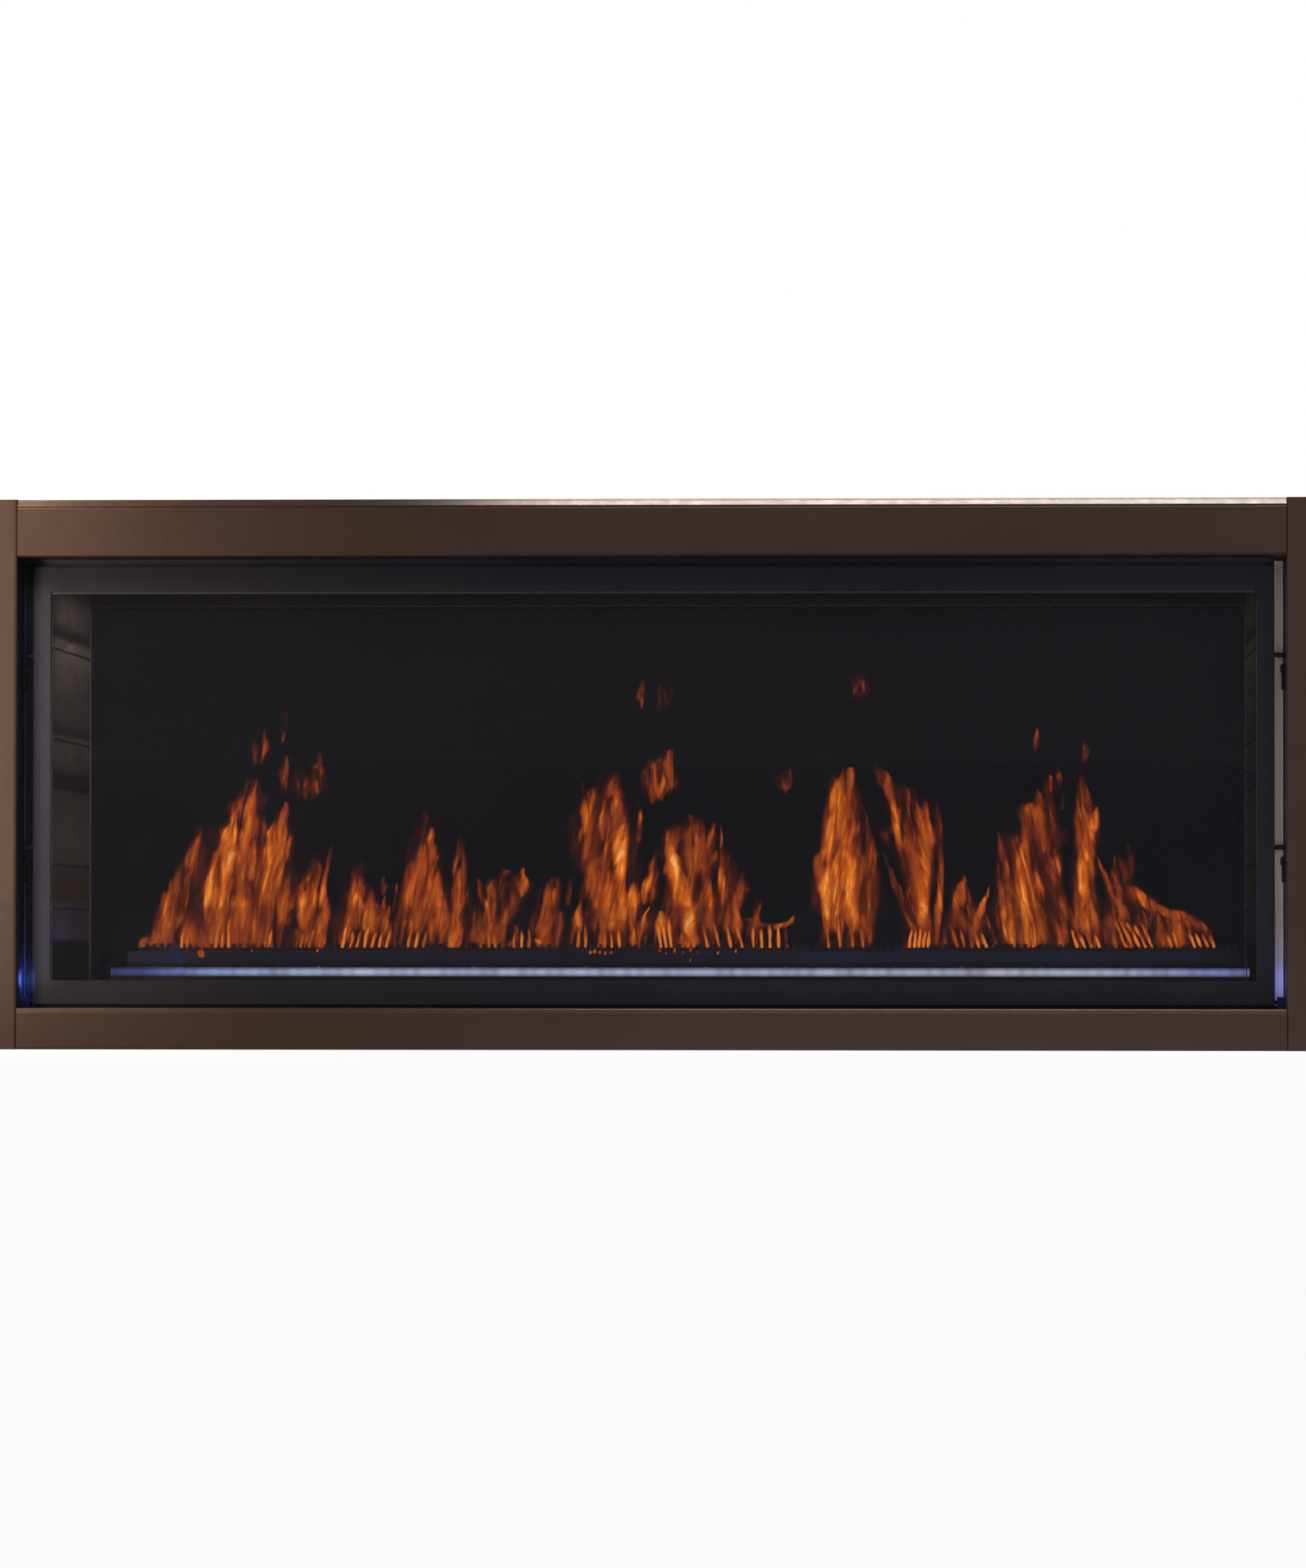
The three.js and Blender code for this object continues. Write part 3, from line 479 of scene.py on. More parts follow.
def flame_look(name, lean, gaps=True):
    """Burning gas: soft ragged edges, streaks that lean, dark gaps, paler where it is hottest."""
    look = Look(name)
    across = look.add("Attribute", attribute_name="across").outputs["Fac"]
    heat = look.add("Attribute", attribute_name="hotness").outputs["Fac"]
    coords = look.add("TexCoord").outputs["Object"]

    def leaning(scale, rise, detail, swirl):
        turned = {"Vector": coords, "Rotation": (0.0, lean, 0.0), "Scale": (1.0, 2.0, rise)}
        place = look.add("Mapping", turned, vector_type="TEXTURE").outputs["Vector"]
        return look.add("TexNoise", {"Vector": place, "Scale": scale, "Detail": detail, "Roughness": 0.6,
                                     "Distortion": swirl}).outputs["Fac"]

    streak = leaning(92.0, 6.0, 4.0, 0.6)
    ragged = leaning(60.0, 2.6, 3.0, 0.3)
    off = look.total(across, look.span(ragged, -0.62, 0.62, 0.28, 0.72))
    body = look.math("SUBTRACT", 1.0, look.product(off, off), clamp=True)
    rim = look.product(look.math("SUBTRACT", 1.0, look.math("ABSOLUTE", across)), 2.0, clamp=True)
    heat = look.total(heat, look.span(streak, -0.56, 0.46, 0.32, 0.68), clamp=True)
    level = look.product(look.product(body, rim), heat)
    if gaps:
        hollow = leaning(27.0, 3.4, 3.0, 1.0)
        level = look.product(level, look.span(hollow, 0.36, 1.2, 0.38, 0.6))
    colour = look.ramp(look.product(level, 0.76), (0.0, (0.08, 0.012, 0.005)),
                       (0.2, (0.19, 0.025, 0.005)), (0.45, (0.44, 0.079, 0.006)),
                       (0.72, (0.76, 0.2, 0.018)), (1.0, (1.0, 0.56, 0.18)))
    alpha = look.ramp(level, (0.0, 0.0), (0.1, 0.1), (0.45, 0.56), (0.9, 0.86), mode="EASE")
    look.owner.cycles.emission_sampling = "NONE"
    return look.principled(
        base_color=(0.0, 0.0, 0.0), roughness=1.0, specular=0.0, alpha=alpha, emission_color=colour,
        emission_strength=FLAME_STRENGTH)


MATERIALS = {
    "bronze": bronze(),
    "recess": metal_paint("recess_black", srgb(28, 27, 38), 0.4, 0.1),
    "door": metal_paint("door_black", srgb(29, 28, 35), 0.52, 0.09),
    # Painted light: the pale colour of the right reveal strips
    "pale": metal_paint("pale_strip_painted_light", (0.82, 0.68, 0.6), 0.5, 0.3, speckle=0.22),
    # Painted highlight: the lighter grey of the beads along the top of the glass
    "bead": metal_paint("glass_bead_painted_highlight", srgb(46, 42, 47), 0.5, 0.12),
    "latch": metal_paint("latch_black", srgb(16, 16, 18), 0.5, 0.1),
    # A lighter, bluer copy of the firebox black: painted blue glow where the face plate shows in the gaps
    "face": metal_paint("face_plate_painted_glow", srgb(56, 54, 68), 0.6, 0.1),
    "matt": metal_paint("firebox_black", srgb(34, 33, 36), 0.75, 0.1),
    "pane": pane_glass(),
    "guard": guard_glass(),
    "stone": stone("cast_liner_stone", 1.0),
    # A darker copy of the liner stone for the right liner: painted shade
    "painted_shade_stone": stone("liner_stone_painted_shade", 0.25),
    "rope": rope(),
    "led": led(),
    "chips": crushed(),
    "bed": bed_glass(),
    "tray": tray_steel("burner_steel", (0.066, 0.06, 0.086)),
    # The right tray has a paler, bluer copy of the burner steel
    "right_tray": tray_steel("burner_steel_paler_bluer", (0.088, 0.092, 0.14)),
    "steel": brushed_steel((0.36, 0.365, 0.37), 0.38),
    "casing": galvanised(),
    "brass": brass(),
    "plastic": plastic("control_plastic", srgb(30, 30, 33)),
    "rocker": plastic("rocker_plastic", srgb(24, 24, 26), 0.3),
    "flame_right": flame_look("flame_leaning_right", 0.16),
    "flame_left": flame_look("flame_leaning_left", -0.18),
    "flame_ports": flame_look("flame_at_ports", 0.0, gaps=False),
}

# The CAD nodes of each look: those of both sides, and those that are there once
SIDE_NODES = {
    "recess": "return_frame", "door": "door_frame", "pane": "door_glass", "rope": "door_gasket",
    "latch": "left_lower_latch left_upper_latch right_lower_latch right_upper_latch",
    "face": "face_plate", "led": "light_bar", "guard": "wind_guard", "bed": "crushed_glass_bed",
}
NODES = {
    "stone": "left_liner", "painted_shade_stone": "right_liner", "matt": "firebox_floor ceiling_baffle",
    "tray": "left_burner_tray port_comb", "right_tray": "right_burner_tray", "brass": "gas_valve",
    "latch": "pilot_burner flame_sensor shutoff_lever", "plastic": "regulator_knob control_box",
    "steel": "left_relief_flap right_relief_flap manifold_pipe air_shutter", "rocker": "rocker_switch",
    "casing": "flue_pipe flue_collar left_end_casing right_end_casing access_cover base_pan top_casing "
              "left_base_skid right_base_skid",
}
for start, table in (("", NODES), ("front_", SIDE_NODES), ("rear_", SIDE_NODES)):
    for look, names in table.items():
        for name in names.split():
            paint(start + name, MATERIALS[look])

# Surround bars
# Every bar has rounded edges; the top rail has a lip with a fine groove, the bottom rail a slope.
# Each edge is given by its points after the back corner: how far in from the edge, how deep.
PLAIN_EDGE = [(0.0, 0.003), (0.0003, 0.0018), (0.001, 0.0009), (0.0021, 0.0003), (0.0036, 0.0)]
LIP_EDGE = [(0.0, 0.0082), (0.0005, 0.007), (0.0016, 0.0062), (0.0024, 0.0057), (0.008, 0.0011),
            (0.0087, 0.0008), (0.0092, 0.0018), (0.0104, 0.0018), (0.0109, 0.0004), (0.0118, 0.0)]
SLOPE_EDGE = [(0.0, 0.0034), (0.0004, 0.0025), (0.0012, 0.0019), (0.005, 0.0004), (0.0066, 0.0)]
BARS = {"left_stile": ("z", PLAIN_EDGE), "right_stile": ("z", PLAIN_EDGE),
        "top_rail": ("x", LIP_EDGE), "bottom_rail": ("x", SLOPE_EDGE)}


def bar_outline(low, high, depth, edge):
    """Outline across a bar, as (place across the bar, depth), from its low to its high edge."""
    points = [(low + a, d) for a, d in [(0.0, depth)] + PLAIN_EDGE]
    return points + [(high - a, d) for a, d in reversed([(0.0, depth)] + edge)]


for side in SIDES:
    turn = INWARDS[side]
    for part, (axis, edge) in BARS.items():
        name = f"{side}_surround_{part}"
        low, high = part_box(name)
        front = low.y if turn > 0 else high.y
        upright, level = (low.z, high.z), (low.x, high.x)
        width, length = (upright, level) if axis == "x" else (level, upright)
        outline = [(a, front + turn * d) for a, d in bar_outline(*width, high.y - low.y, edge)]
        if axis == "x":
            outline = [(y, a) for a, y in outline]
        points, faces = sweep(outline, *length, axis)
        bar = recalc(mesh_piece(f"{side}_{part}_bar", points, faces, MATERIALS["bronze"]))
        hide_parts(name)

# Reveal strips
# Thin strips on the face plate, seen in the gaps beside each door: the right one of each side is pale,
# painted light, and the left one dark, painted shade. Their places are from the middle.
STRIP_IN, STRIP_OUT, STRIP_LOW, STRIP_HIGH = 0.7846, 0.7954, 0.056, 0.616
STRIP_OFF, STRIP_PROUD, STRIP_BEVEL, STRIP_BEVEL_DEPTH = 0.0001, 0.0016, 0.0005, 0.0004
STRIP_OUTLINE = [(STRIP_IN, STRIP_OFF), (STRIP_IN, STRIP_PROUD - STRIP_BEVEL_DEPTH),
                 (STRIP_IN + STRIP_BEVEL, STRIP_PROUD), (STRIP_OUT - STRIP_BEVEL, STRIP_PROUD),
                 (STRIP_OUT, STRIP_PROUD - STRIP_BEVEL_DEPTH), (STRIP_OUT, STRIP_OFF)]
for side in SIDES:
    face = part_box(f"{side}_face_plate")[0 if side == "front" else 1].y
    for hand, look in (("left", "latch"), ("right", "pale")):
        way = INWARDS[side] if hand == "right" else -INWARDS[side]
        outline = [(way * across, face - INWARDS[side] * proud) for across, proud in STRIP_OUTLINE]
        points, faces = sweep(outline, STRIP_LOW, STRIP_HIGH, "z")
        strip = mesh_piece(f"{side}_{hand}_reveal_strip", points, faces, MATERIALS[look])
        recalc(strip)

# Glass beads
# A fine rounded bead along the top of each door's view hole, where the frame holds the pane; its lighter
# grey is a painted highlight along the top of the glass. Its outline is how far behind the door's face and
# how far above its own foot.
BEAD_BEHIND, BEAD_FOOT, BEAD_HALF = 0.0004, 0.5754, 0.76
BEAD_OUTLINE = [(0.0, 0.0027), (0.0004, 0.0008), (0.0012, 0.0), (0.003, 0.0), (0.003, 0.0027)]
for side in SIDES:
    turn = INWARDS[side]
    low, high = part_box(f"{side}_door_frame")
    front = (low.y if turn > 0 else high.y) + turn * BEAD_BEHIND
    outline = [(front + turn * behind, BEAD_FOOT + up) for behind, up in BEAD_OUTLINE]
    points, faces = sweep(outline, -BEAD_HALF, BEAD_HALF, "x")
    recalc(mesh_piece(f"{side}_top_glass_bead", points, faces, MATERIALS["bead"], f"{side}_door"))

# Crushed glass
rng = random.Random(11)
CHIP_COUNT = 900
CHIP_EDGE, CHIP_SMALLEST, CHIP_LARGEST = 0.008, 0.0035, 0.0075
BED_CROWN, CHIP_SUNK = 0.006, 0.25
CHIP_CORNERS = ((1, 0, 0), (-1, 0, 0), (0, 1, 0), (0, -1, 0), (0, 0, 1), (0, 0, -1))
CHIP_FACES = ((0, 2, 4), (2, 1, 4), (1, 3, 4), (3, 0, 4), (2, 0, 5), (1, 2, 5), (3, 1, 5), (0, 3, 5))


def chip(centre, size):
    """The points of an irregular eight-sided chip."""
    tilt = Vector([rng.uniform(-1, 1) for _ in range(3)]).normalized()
    points = []
    for corner in CHIP_CORNERS:
        p = Vector(corner) * size * rng.uniform(0.55, 1.0)
        p.rotate(Vector((0, 0, 1)).rotation_difference(tilt))
        points.append(centre + p)
    return points


for side in SIDES:
    low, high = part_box(f"{side}_crushed_glass_bed")
    points, faces, tones = [], [], []
    for _ in range(CHIP_COUNT):
        x = rng.uniform(low.x + CHIP_EDGE, high.x - CHIP_EDGE)
        y = rng.uniform(low.y + CHIP_EDGE, high.y - CHIP_EDGE)
        rise = 1.0 - abs(y - (low.y + high.y) / 2) / ((high.y - low.y) / 2)
        crown = high.z - BED_CROWN + BED_CROWN * rise
        size = rng.uniform(CHIP_SMALLEST, CHIP_LARGEST)
        corners = chip(Vector((x, y, crown - CHIP_SUNK * size)), size)
        base = len(points)
        points += corners
        faces += [tuple(base + i for i in face) for face in CHIP_FACES]
        tones += [rng.random() ** 2] * len(corners)
    loose = mesh_piece(f"{side}_glass_chips", points, faces, MATERIALS["chips"])
    tone = loose.data.attributes.new("tone", "FLOAT", "POINT")
    tone.data.foreach_set("value", tones)

# Flames
# Each tongue is a list of rows from its foot to its tip: pixel column, height in pixels above the
# ports, half width in pixels and heat. They stand over the port comb, a few millimetres apart in Y.
TONGUES = {"left": [
    [(192, 2, 16, .5), (190, 12, 12, .45), (188, 23, 4, .2)],
    [(199, 2, 8, .6), (206, 28, 7, .55), (214, 53, 7, .5), (223, 78, 9, .5), (234, 100, 10, .45),
     (238, 121, 3, .2)],
    [(254, 48, 4, .25), (256, 88, 5, .3), (259, 128, 4, .25), (261, 150, 1, .1)],
    [(244, 2, 9, .9), (246, 26, 8, .8), (250, 50, 3, .4)],
    [(275, -2, 14, .3), (285, 7, 20, .5), (290, 17, 8, .2)],
    [(285, 2, 10, .7), (288, 38, 12, .8), (293, 73, 12, .8), (298, 118, 12, .6), (303, 158, 10, .5),
     (303, 191, 2, .2)],
    [(303, 2, 14, .7), (312, 48, 16, .65), (318, 88, 14, .5), (322, 128, 15, .65), (328, 168, 13, .6),
     (335, 221, 2, .2)],
    [(335, 2, 12, .6), (342, 58, 16, .55), (350, 108, 16, .6), (360, 148, 13, .5), (373, 188, 2, .2)],
    [(306, 126, 3, .6), (308, 153, 4, 1.0), (309, 178, 1, .5)],
    [(292, 2, 5, .9), (295, 48, 6, 1.0), (298, 88, 2, .6)],
    [(353, 0, 6, .9), (354, 14, 5, .9), (355, 29, 1, .3)],
    [(400, 2, 12, .7), (402, 38, 14, .6), (405, 78, 14, .5), (409, 121, 2, .2)],
    [(420, 2, 8, .6), (422, 48, 10, .8), (424, 83, 8, .8), (433, 133, 2, .2)],
    [(448, 2, 12, .7), (455, 38, 14, .6), (463, 78, 10, .5), (472, 113, 2, .2)],
    [(480, 1, 14, .9), (482, 33, 12, .95), (484, 66, 3, .5)],
    [(502, 1, 10, .7), (505, 33, 8, .6), (508, 55, 2, .3)],
    [(499, 68, 4, .3), (502, 83, 7, .35), (506, 98, 2, .2)],
    [(515, 45, 3, .3), (517, 66, 4, .35), (518, 85, 1, .1)],
    [(537, 2, 8, .9), (540, 38, 16, .6), (545, 78, 20, .6), (550, 118, 14, .55), (552, 176, 2, .2)],
    [(562, 2, 10, .5), (568, 58, 14, .5), (566, 108, 10, .45), (560, 146, 2, .2)],
    [(600, 2, 5, .8), (600, 33, 5, .6), (598, 68, 11, .4), (600, 108, 10, .3), (604, 178, 2, .1)],
], "centre_left": [
    [(648, 2, 5, .8), (640, 38, 6, .6), (630, 68, 6, .5), (622, 97, 1, .2)],
    [(668, 50, 6, .3), (677, 78, 17, .45), (684, 104, 3, .2)],
    [(672, 1, 12, .8), (673, 16, 10, .6), (674, 32, 2, .2)],
    [(690, 10, 3, .4), (708, 6, 7, .75), (728, 12, 2, .4)],
    [(712, 48, 8, .3), (719, 65, 15, .4), (726, 82, 3, .15)],
    [(741, 52, 3, .4), (743, 78, 5, .5), (745, 104, 1, .2)],
    [(750, 1, 10, .9), (754, 30, 10, .9), (759, 61, 2, .4)],
    [(808, 2, 12, .8), (800, 38, 20, .6), (786, 78, 24, .55), (772, 128, 12, .45), (765, 173, 10, .4),
     (762, 217, 2, .15)],
    [(812, 2, 8, .7), (809, 68, 14, .7), (811, 118, 13, .75), (810, 178, 11, .5), (806, 237, 2, .15)],
    [(810, 80, 3, .8), (812, 113, 5, 1.0), (814, 148, 2, .7)],
    [(835, 136, 5, .5), (836, 168, 6, .45), (835, 197, 1, .1)],
    [(790, 138, 10, .5), (786, 178, 14, .45), (766, 208, 10, .3), (744, 236, 3, .12)],
    [(842, 56, 8, .4), (850, 90, 16, .5), (860, 126, 4, .2)],
    [(829, 2, 5, .7), (826, 23, 6, .6), (822, 48, 2, .3)],
    [(774, 1, 4, .8), (776, 24, 4, .6), (779, 42, 1, .2)],
], "centre": [
    [(908, 2, 10, .9), (897, 43, 16, .9), (885, 88, 15, .8), (877, 123, 11, .65), (874, 154, 2, .25)],
    [(868, 0, 14, 1.1), (866, 22, 12, 1.1), (864, 48, 4, .6)],
    [(882, 0, 6, 1.0), (876, 22, 5, 1.0), (868, 42, 1, .6)],
    [(953, 2, 7, .8), (948, 43, 8, .6), (944, 88, 7, .5), (943, 128, 5, .4), (942, 159, 1, .15)],
    [(930, 2, 9, .7), (926, 48, 10, .55), (920, 108, 9, .45), (916, 178, 2, .12)],
    [(915, 108, 14, .3), (928, 143, 12, .25), (936, 168, 3, .08)],
    [(958, 51, 8, .3), (965, 75, 15, .32), (972, 98, 3, .1)],
    [(966, 1, 9, .95), (962, 35, 9, .9), (960, 71, 2, .4)],
    [(975, 38, 3, .4), (1005, 28, 6, .5), (1030, 31, 5, .5), (1037, 42, 2, .2)],
    *([(x, 0, 4, .9), (x, 12, 4, .8), (x, 26, 1, .2)] for x in (990, 1002, 1014)),
    [(1026, 0, 4, .9), (1026, 12, 4, .8), (1026, 28, 1, .2)],
    [(1084, 2, 9, .7), (1079, 48, 11, .6), (1078, 88, 14, .7), (1082, 128, 16, .7), (1087, 178, 12, .5),
     (1090, 237, 2, .15)],
    [(1118, 2, 12, .9), (1112, 48, 14, .9), (1110, 98, 16, .95), (1108, 138, 16, .8), (1109, 183, 11, .55),
     (1112, 227, 2, .15)],
    [(1130, 2, 12, .9), (1134, 48, 13, .65), (1136, 98, 13, .55), (1137, 138, 9, .5), (1128, 178, 4, .3),
     (1120, 208, 1, .1)],
], "centre_right": [
    [(1172, 166, 4, .3), (1160, 203, 7, .35), (1148, 224, 6, .3), (1138, 237, 2, .1)],
    [(1201, 2, 11, 1.1), (1202, 33, 11, 1.0), (1206, 73, 16, .7), (1204, 118, 22, .6), (1200, 158, 26, .5),
     (1212, 190, 4, .15)],
    [(1220, 2, 6, .7), (1226, 53, 7, .95), (1228, 93, 7, .95), (1228, 126, 5, .7), (1225, 168, 6, .5),
     (1224, 192, 1, .2)],
    [(1192, 23, 4, .6), (1180, 58, 6, .55), (1166, 93, 6, .5), (1153, 126, 1, .2)],
    [(1245, 23, 8, .45), (1252, 58, 14, .5), (1260, 91, 3, .2)],
    *([(x, 0, 4, .8), (x, 12, 4, .7), (x, 24, 1, .2)] for x in (1258, 1270, 1282)),
    [(1266, 4, 6, .7), (1275, 33, 6, .6), (1285, 58, 5, .5), (1293, 81, 1, .2)],
    [(1320, 2, 10, .7), (1316, 48, 14, .6), (1310, 98, 11, .55), (1304, 152, 2, .2)],
    [(1340, 2, 10, .7), (1338, 48, 13, .6), (1332, 93, 11, .6), (1328, 136, 2, .2)],
    [(1354, 2, 5, .9), (1344, 48, 5, .9), (1334, 88, 5, .8), (1325, 126, 1, .3)],
    [(1390, 2, 9, .8), (1384, 48, 14, .7), (1374, 98, 18, .65), (1360, 148, 24, .6), (1362, 188, 17, .55),
     (1374, 224, 2, .2)],
    [(1345, 136, 8, .4), (1336, 163, 9, .4), (1328, 188, 2, .2)],
], "right": [
    [(1418, 2, 12, .9), (1416, 48, 10, .8), (1415, 98, 10, .75), (1414, 148, 11, .7), (1412, 188, 9, .6),
     (1411, 224, 2, .2)],
    [(1424, 141, 5, .5), (1430, 166, 8, .6), (1432, 186, 2, .2)],
    [(1434, 0, 8, .8), (1433, 16, 8, .6), (1432, 32, 2, .2)],
    [(1452, 62, 5, .5), (1443, 92, 6, .5), (1433, 120, 1, .2)],
    [(1456, 100, 2, .25), (1457, 118, 3, .3), (1457, 135, 1, .1)],
    [(1468, 82, 5, .25), (1474, 108, 11, .3), (1480, 133, 2, .1)],
    [(1589, 2, 3, .7), (1573, 23, 8, .6), (1543, 41, 10, .6), (1517, 49, 11, .65), (1480, 68, 15, .6),
     (1455, 80, 3, .3)],
    [(1507, 2, 4, .8), (1480, 23, 5, .7), (1455, 38, 4, .6), (1436, 51, 1, .3)],
    [(1478, 0, 5, .8), (1480, 16, 5, .7), (1482, 32, 1, .2)],
    [(1494, 0, 5, .8), (1492, 16, 5, .7), (1490, 32, 1, .2)],
    [(1530, 0, 4, .6), (1530, 14, 4, .5), (1530, 30, 1, .2)],
    [(1556, 0, 4, .6), (1556, 12, 4, .5), (1556, 26, 1, .2)],
], "wisps": [
    [(336, 239, 5, .16), (340, 263, 8, .2), (345, 287, 2, .06)],
    [(370, 268, 3, .12), (372, 292, 5, .14), (372, 315, 2, .05)],
    [(365, 196, 4, .22), (370, 223, 7, .25), (376, 250, 2, .08)],
    [(395, 189, 6, .1), (405, 220, 20, .16), (420, 256, 4, .06)],
    [(835, 313, 3, .1), (838, 333, 6, .14), (842, 351, 2, .05)],
    [(862, 303, 5, .12), (868, 332, 10, .17), (870, 360, 3, .06)],
    [(858, 188, 8, .3), (862, 223, 20, .3), (882, 260, 4, .12)],
    [(1022, 199, 4, .22), (1026, 220, 8, .26), (1031, 240, 2, .08)],
    [(1110, 323, 6, .09), (1120, 342, 16, .12), (1130, 360, 4, .05)],
    [(1353, 254, 4, .14), (1354, 271, 5, .17), (1355, 287, 1, .05)],
    [(1386, 180, 4, .25), (1384, 213, 6, .28), (1383, 240, 1, .08)],
    [(1416, 235, 3, .14), (1418, 258, 5, .18), (1420, 280, 1, .05)],
]}
# Broad, dimmer bodies of the flame groups, in the same form
BODIES = {"left": [
    [(222, 0, 44, .5), (236, 43, 40, .5), (250, 88, 30, .42), (258, 133, 14, .25), (262, 160, 4, .1)],
    [(300, 0, 58, .55), (300, 48, 62, .55), (308, 98, 58, .55), (318, 148, 48, .5), (326, 188, 28, .35),
     (332, 222, 8, .12)],
    [(355, 0, 34, .5), (358, 48, 32, .5), (362, 108, 26, .45), (368, 153, 18, .35), (374, 190, 5, .12)],
    [(404, 0, 27, .5), (406, 48, 26, .5), (408, 88, 18, .42), (412, 125, 5, .12)],
    [(470, 0, 44, .5), (470, 38, 40, .46), (465, 78, 24, .36), (470, 115, 6, .12)],
], "centre_left": [
    [(560, 0, 36, .48), (556, 48, 42, .52), (553, 98, 33, .52), (552, 138, 19, .4), (553, 178, 5, .12)],
    [(600, 0, 14, .4), (600, 48, 16, .38), (602, 108, 12, .28), (605, 163, 4, .1)],
    [(642, 0, 42, .4), (650, 33, 44, .4), (655, 68, 30, .33), (662, 102, 9, .12)],
    [(722, 0, 26, .42), (722, 33, 30, .42), (720, 63, 21, .36), (722, 92, 6, .12)],
    [(800, 0, 58, .52), (800, 48, 58, .52), (795, 98, 52, .52), (793, 148, 45, .46), (793, 193, 33, .33),
     (799, 236, 10, .12)],
], "centre": [
    [(900, 0, 58, .55), (898, 48, 58, .55), (896, 98, 48, .52), (898, 138, 34, .42), (904, 174, 12, .16)],
    [(950, 0, 30, .5), (956, 48, 28, .42), (956, 88, 20, .28), (950, 130, 6, .1)],
    [(1105, 0, 40, .52), (1105, 48, 43, .56), (1105, 98, 44, .62), (1104, 148, 39, .56),
     (1104, 198, 27, .38), (1107, 236, 8, .12)],
], "centre_right": [
    [(1202, 0, 20, .6), (1199, 48, 24, .52), (1195, 98, 35, .52), (1190, 148, 38, .46),
     (1178, 188, 26, .33), (1160, 218, 13, .22), (1144, 240, 4, .08)],
    [(1262, 0, 28, .38), (1258, 38, 28, .38), (1255, 73, 16, .28), (1258, 96, 4, .1)],
    [(1340, 0, 52, .48), (1340, 48, 54, .48), (1345, 98, 48, .52), (1352, 148, 36, .52),
     (1360, 188, 21, .38), (1370, 226, 6, .12)],
], "right": [
    [(1420, 0, 25, .48), (1418, 48, 22, .48), (1416, 98, 20, .48), (1417, 148, 21, .48),
     (1415, 188, 14, .38), (1411, 228, 4, .12)],
    [(1470, 0, 38, .48), (1465, 33, 36, .48), (1462, 68, 27, .38), (1467, 108, 14, .28),
     (1474, 135, 4, .1)],
    [(1530, 0, 36, .42), (1522, 23, 34, .42), (1512, 43, 22, .33), (1505, 62, 6, .12)],
    [(1575, 0, 18, .38), (1568, 16, 16, .33), (1560, 32, 5, .12)],
]}
# Low flames between the larger ones: group, first and last pixel column, how many
LOW_FLAMES = (("left", 205, 530, 26), ("centre_left", 560, 850, 20), ("centre", 850, 985, 10),
              ("centre_right", 1235, 1345, 9), ("right", 1400, 1570, 12))
# Ranges of their height, half width, lean as a share of the height, and heat
LOW_TALL, LOW_HALF, LOW_LEAN, LOW_HEAT = (24, 74), (5, 12), (0.05, 0.35), (0.35, 0.6)
# Left of this column they lean to the right, and right of it to the left
LEAN_TURNS = 1000
# The centre group burns brighter up to this column
BRIGHT_END, BRIGHTER = 990, 1.35
for name, first, last, count in LOW_FLAMES:
    way = 1.0 if last < LEAN_TURNS else -1.0
    for _ in range(count):
        px, tall, half = rng.uniform(first, last), rng.uniform(*LOW_TALL), rng.uniform(*LOW_HALF)
        lean, hot = way * rng.uniform(*LOW_LEAN) * tall, rng.uniform(*LOW_HEAT)
        TONGUES[name].append([(px, 0, half, hot), (px + .3 * lean, .45 * tall, half, .9 * hot),
                              (px + lean, tall, 1.5, .5 * hot)])
TONGUES["centre"] = [[(x, up, w, h * (BRIGHTER if x < BRIGHT_END else 1.0)) for x, up, w, h in rows]
                     for rows in TONGUES["centre"]]
# The share of its heat that a broad body has from each height on: less where small flames stand
BODY_HEAT = ((38, 1.05), (8, 0.95), (0, 0.8))
for name, bodies in BODIES.items():
    bodies = [[(x, up, w, h * next(share for height, share in BODY_HEAT if up >= height))
               for x, up, w, h in rows] for rows in bodies]
    TONGUES[name] = bodies + TONGUES[name]
# Small flames at the ports: first and last pixel column, pitch, height, lean, heat
PORTS = [(238, 252, 7, 34, 2, .8), (282, 298, 8, 40, 3, .9), (350, 356, 7, 30, 5, 1.),
         (392, 404, 6, 24, 6, .7), (447, 512, 9.6, 27, 6, 1.05), (533, 556, 9.6, 26, 5, 1.),
         (598, 604, 7, 40, -1, .9), (640, 649, 8, 30, -3, .8), (672, 695, 9.6, 24, 0, .9),
         (755, 772, 9.6, 30, 1, .95), (790, 818, 9.6, 28, -2, .9), (863, 882, 7, 40, -4, 1.2),
         (892, 906, 7, 16, 0, .8), (925, 970, 15, 40, -8, .85), (984, 1024, 11.2, 28, -1, 1.1),
         (1083, 1130, 15, 40, -3, .8), (1188, 1212, 6, 26, 3, 1.2), (1251, 1290, 9.6, 24, -8, .85),
         (1349, 1356, 8, 36, -6, .8), (1389, 1396, 8, 30, -6, .7), (1408, 1443, 9.6, 26, -9, .95),
         (1472, 1507, 8.5, 36, -18, .95), (1531, 1542, 8, 24, -8, .75), (1561, 1590, 8.5, 22, -8, .9)]
# Licks and sparks over the front edge of the burner: pixel column, pixels below the ports, size
SPARKS = [(263, 12, 12), (771, 8, 5), (777, 7, 6), (784, 8, 5), (791, 9, 6), (798, 8, 5),
          (862, 5, 5), (870, 9, 4), (882, 6, 6), (893, 8, 5), (903, 5, 6), (902, 18, 4),
          (912, 7, 4), (938, 8, 5), (961, 6, 5), (1262, 4, 3), (415, 5, 4), (329, 5, 4)]
# The pixel row of the ports. A stretch of ports longer than LONG dims what burns low down behind it
# and up to BESIDE next to it, in pixels.
PORT_ROW, LONG, BESIDE = 1238, 16, 6
DIM_FROM, DIM_OVER, DIMMED_BY = 1206, 16, 0.8
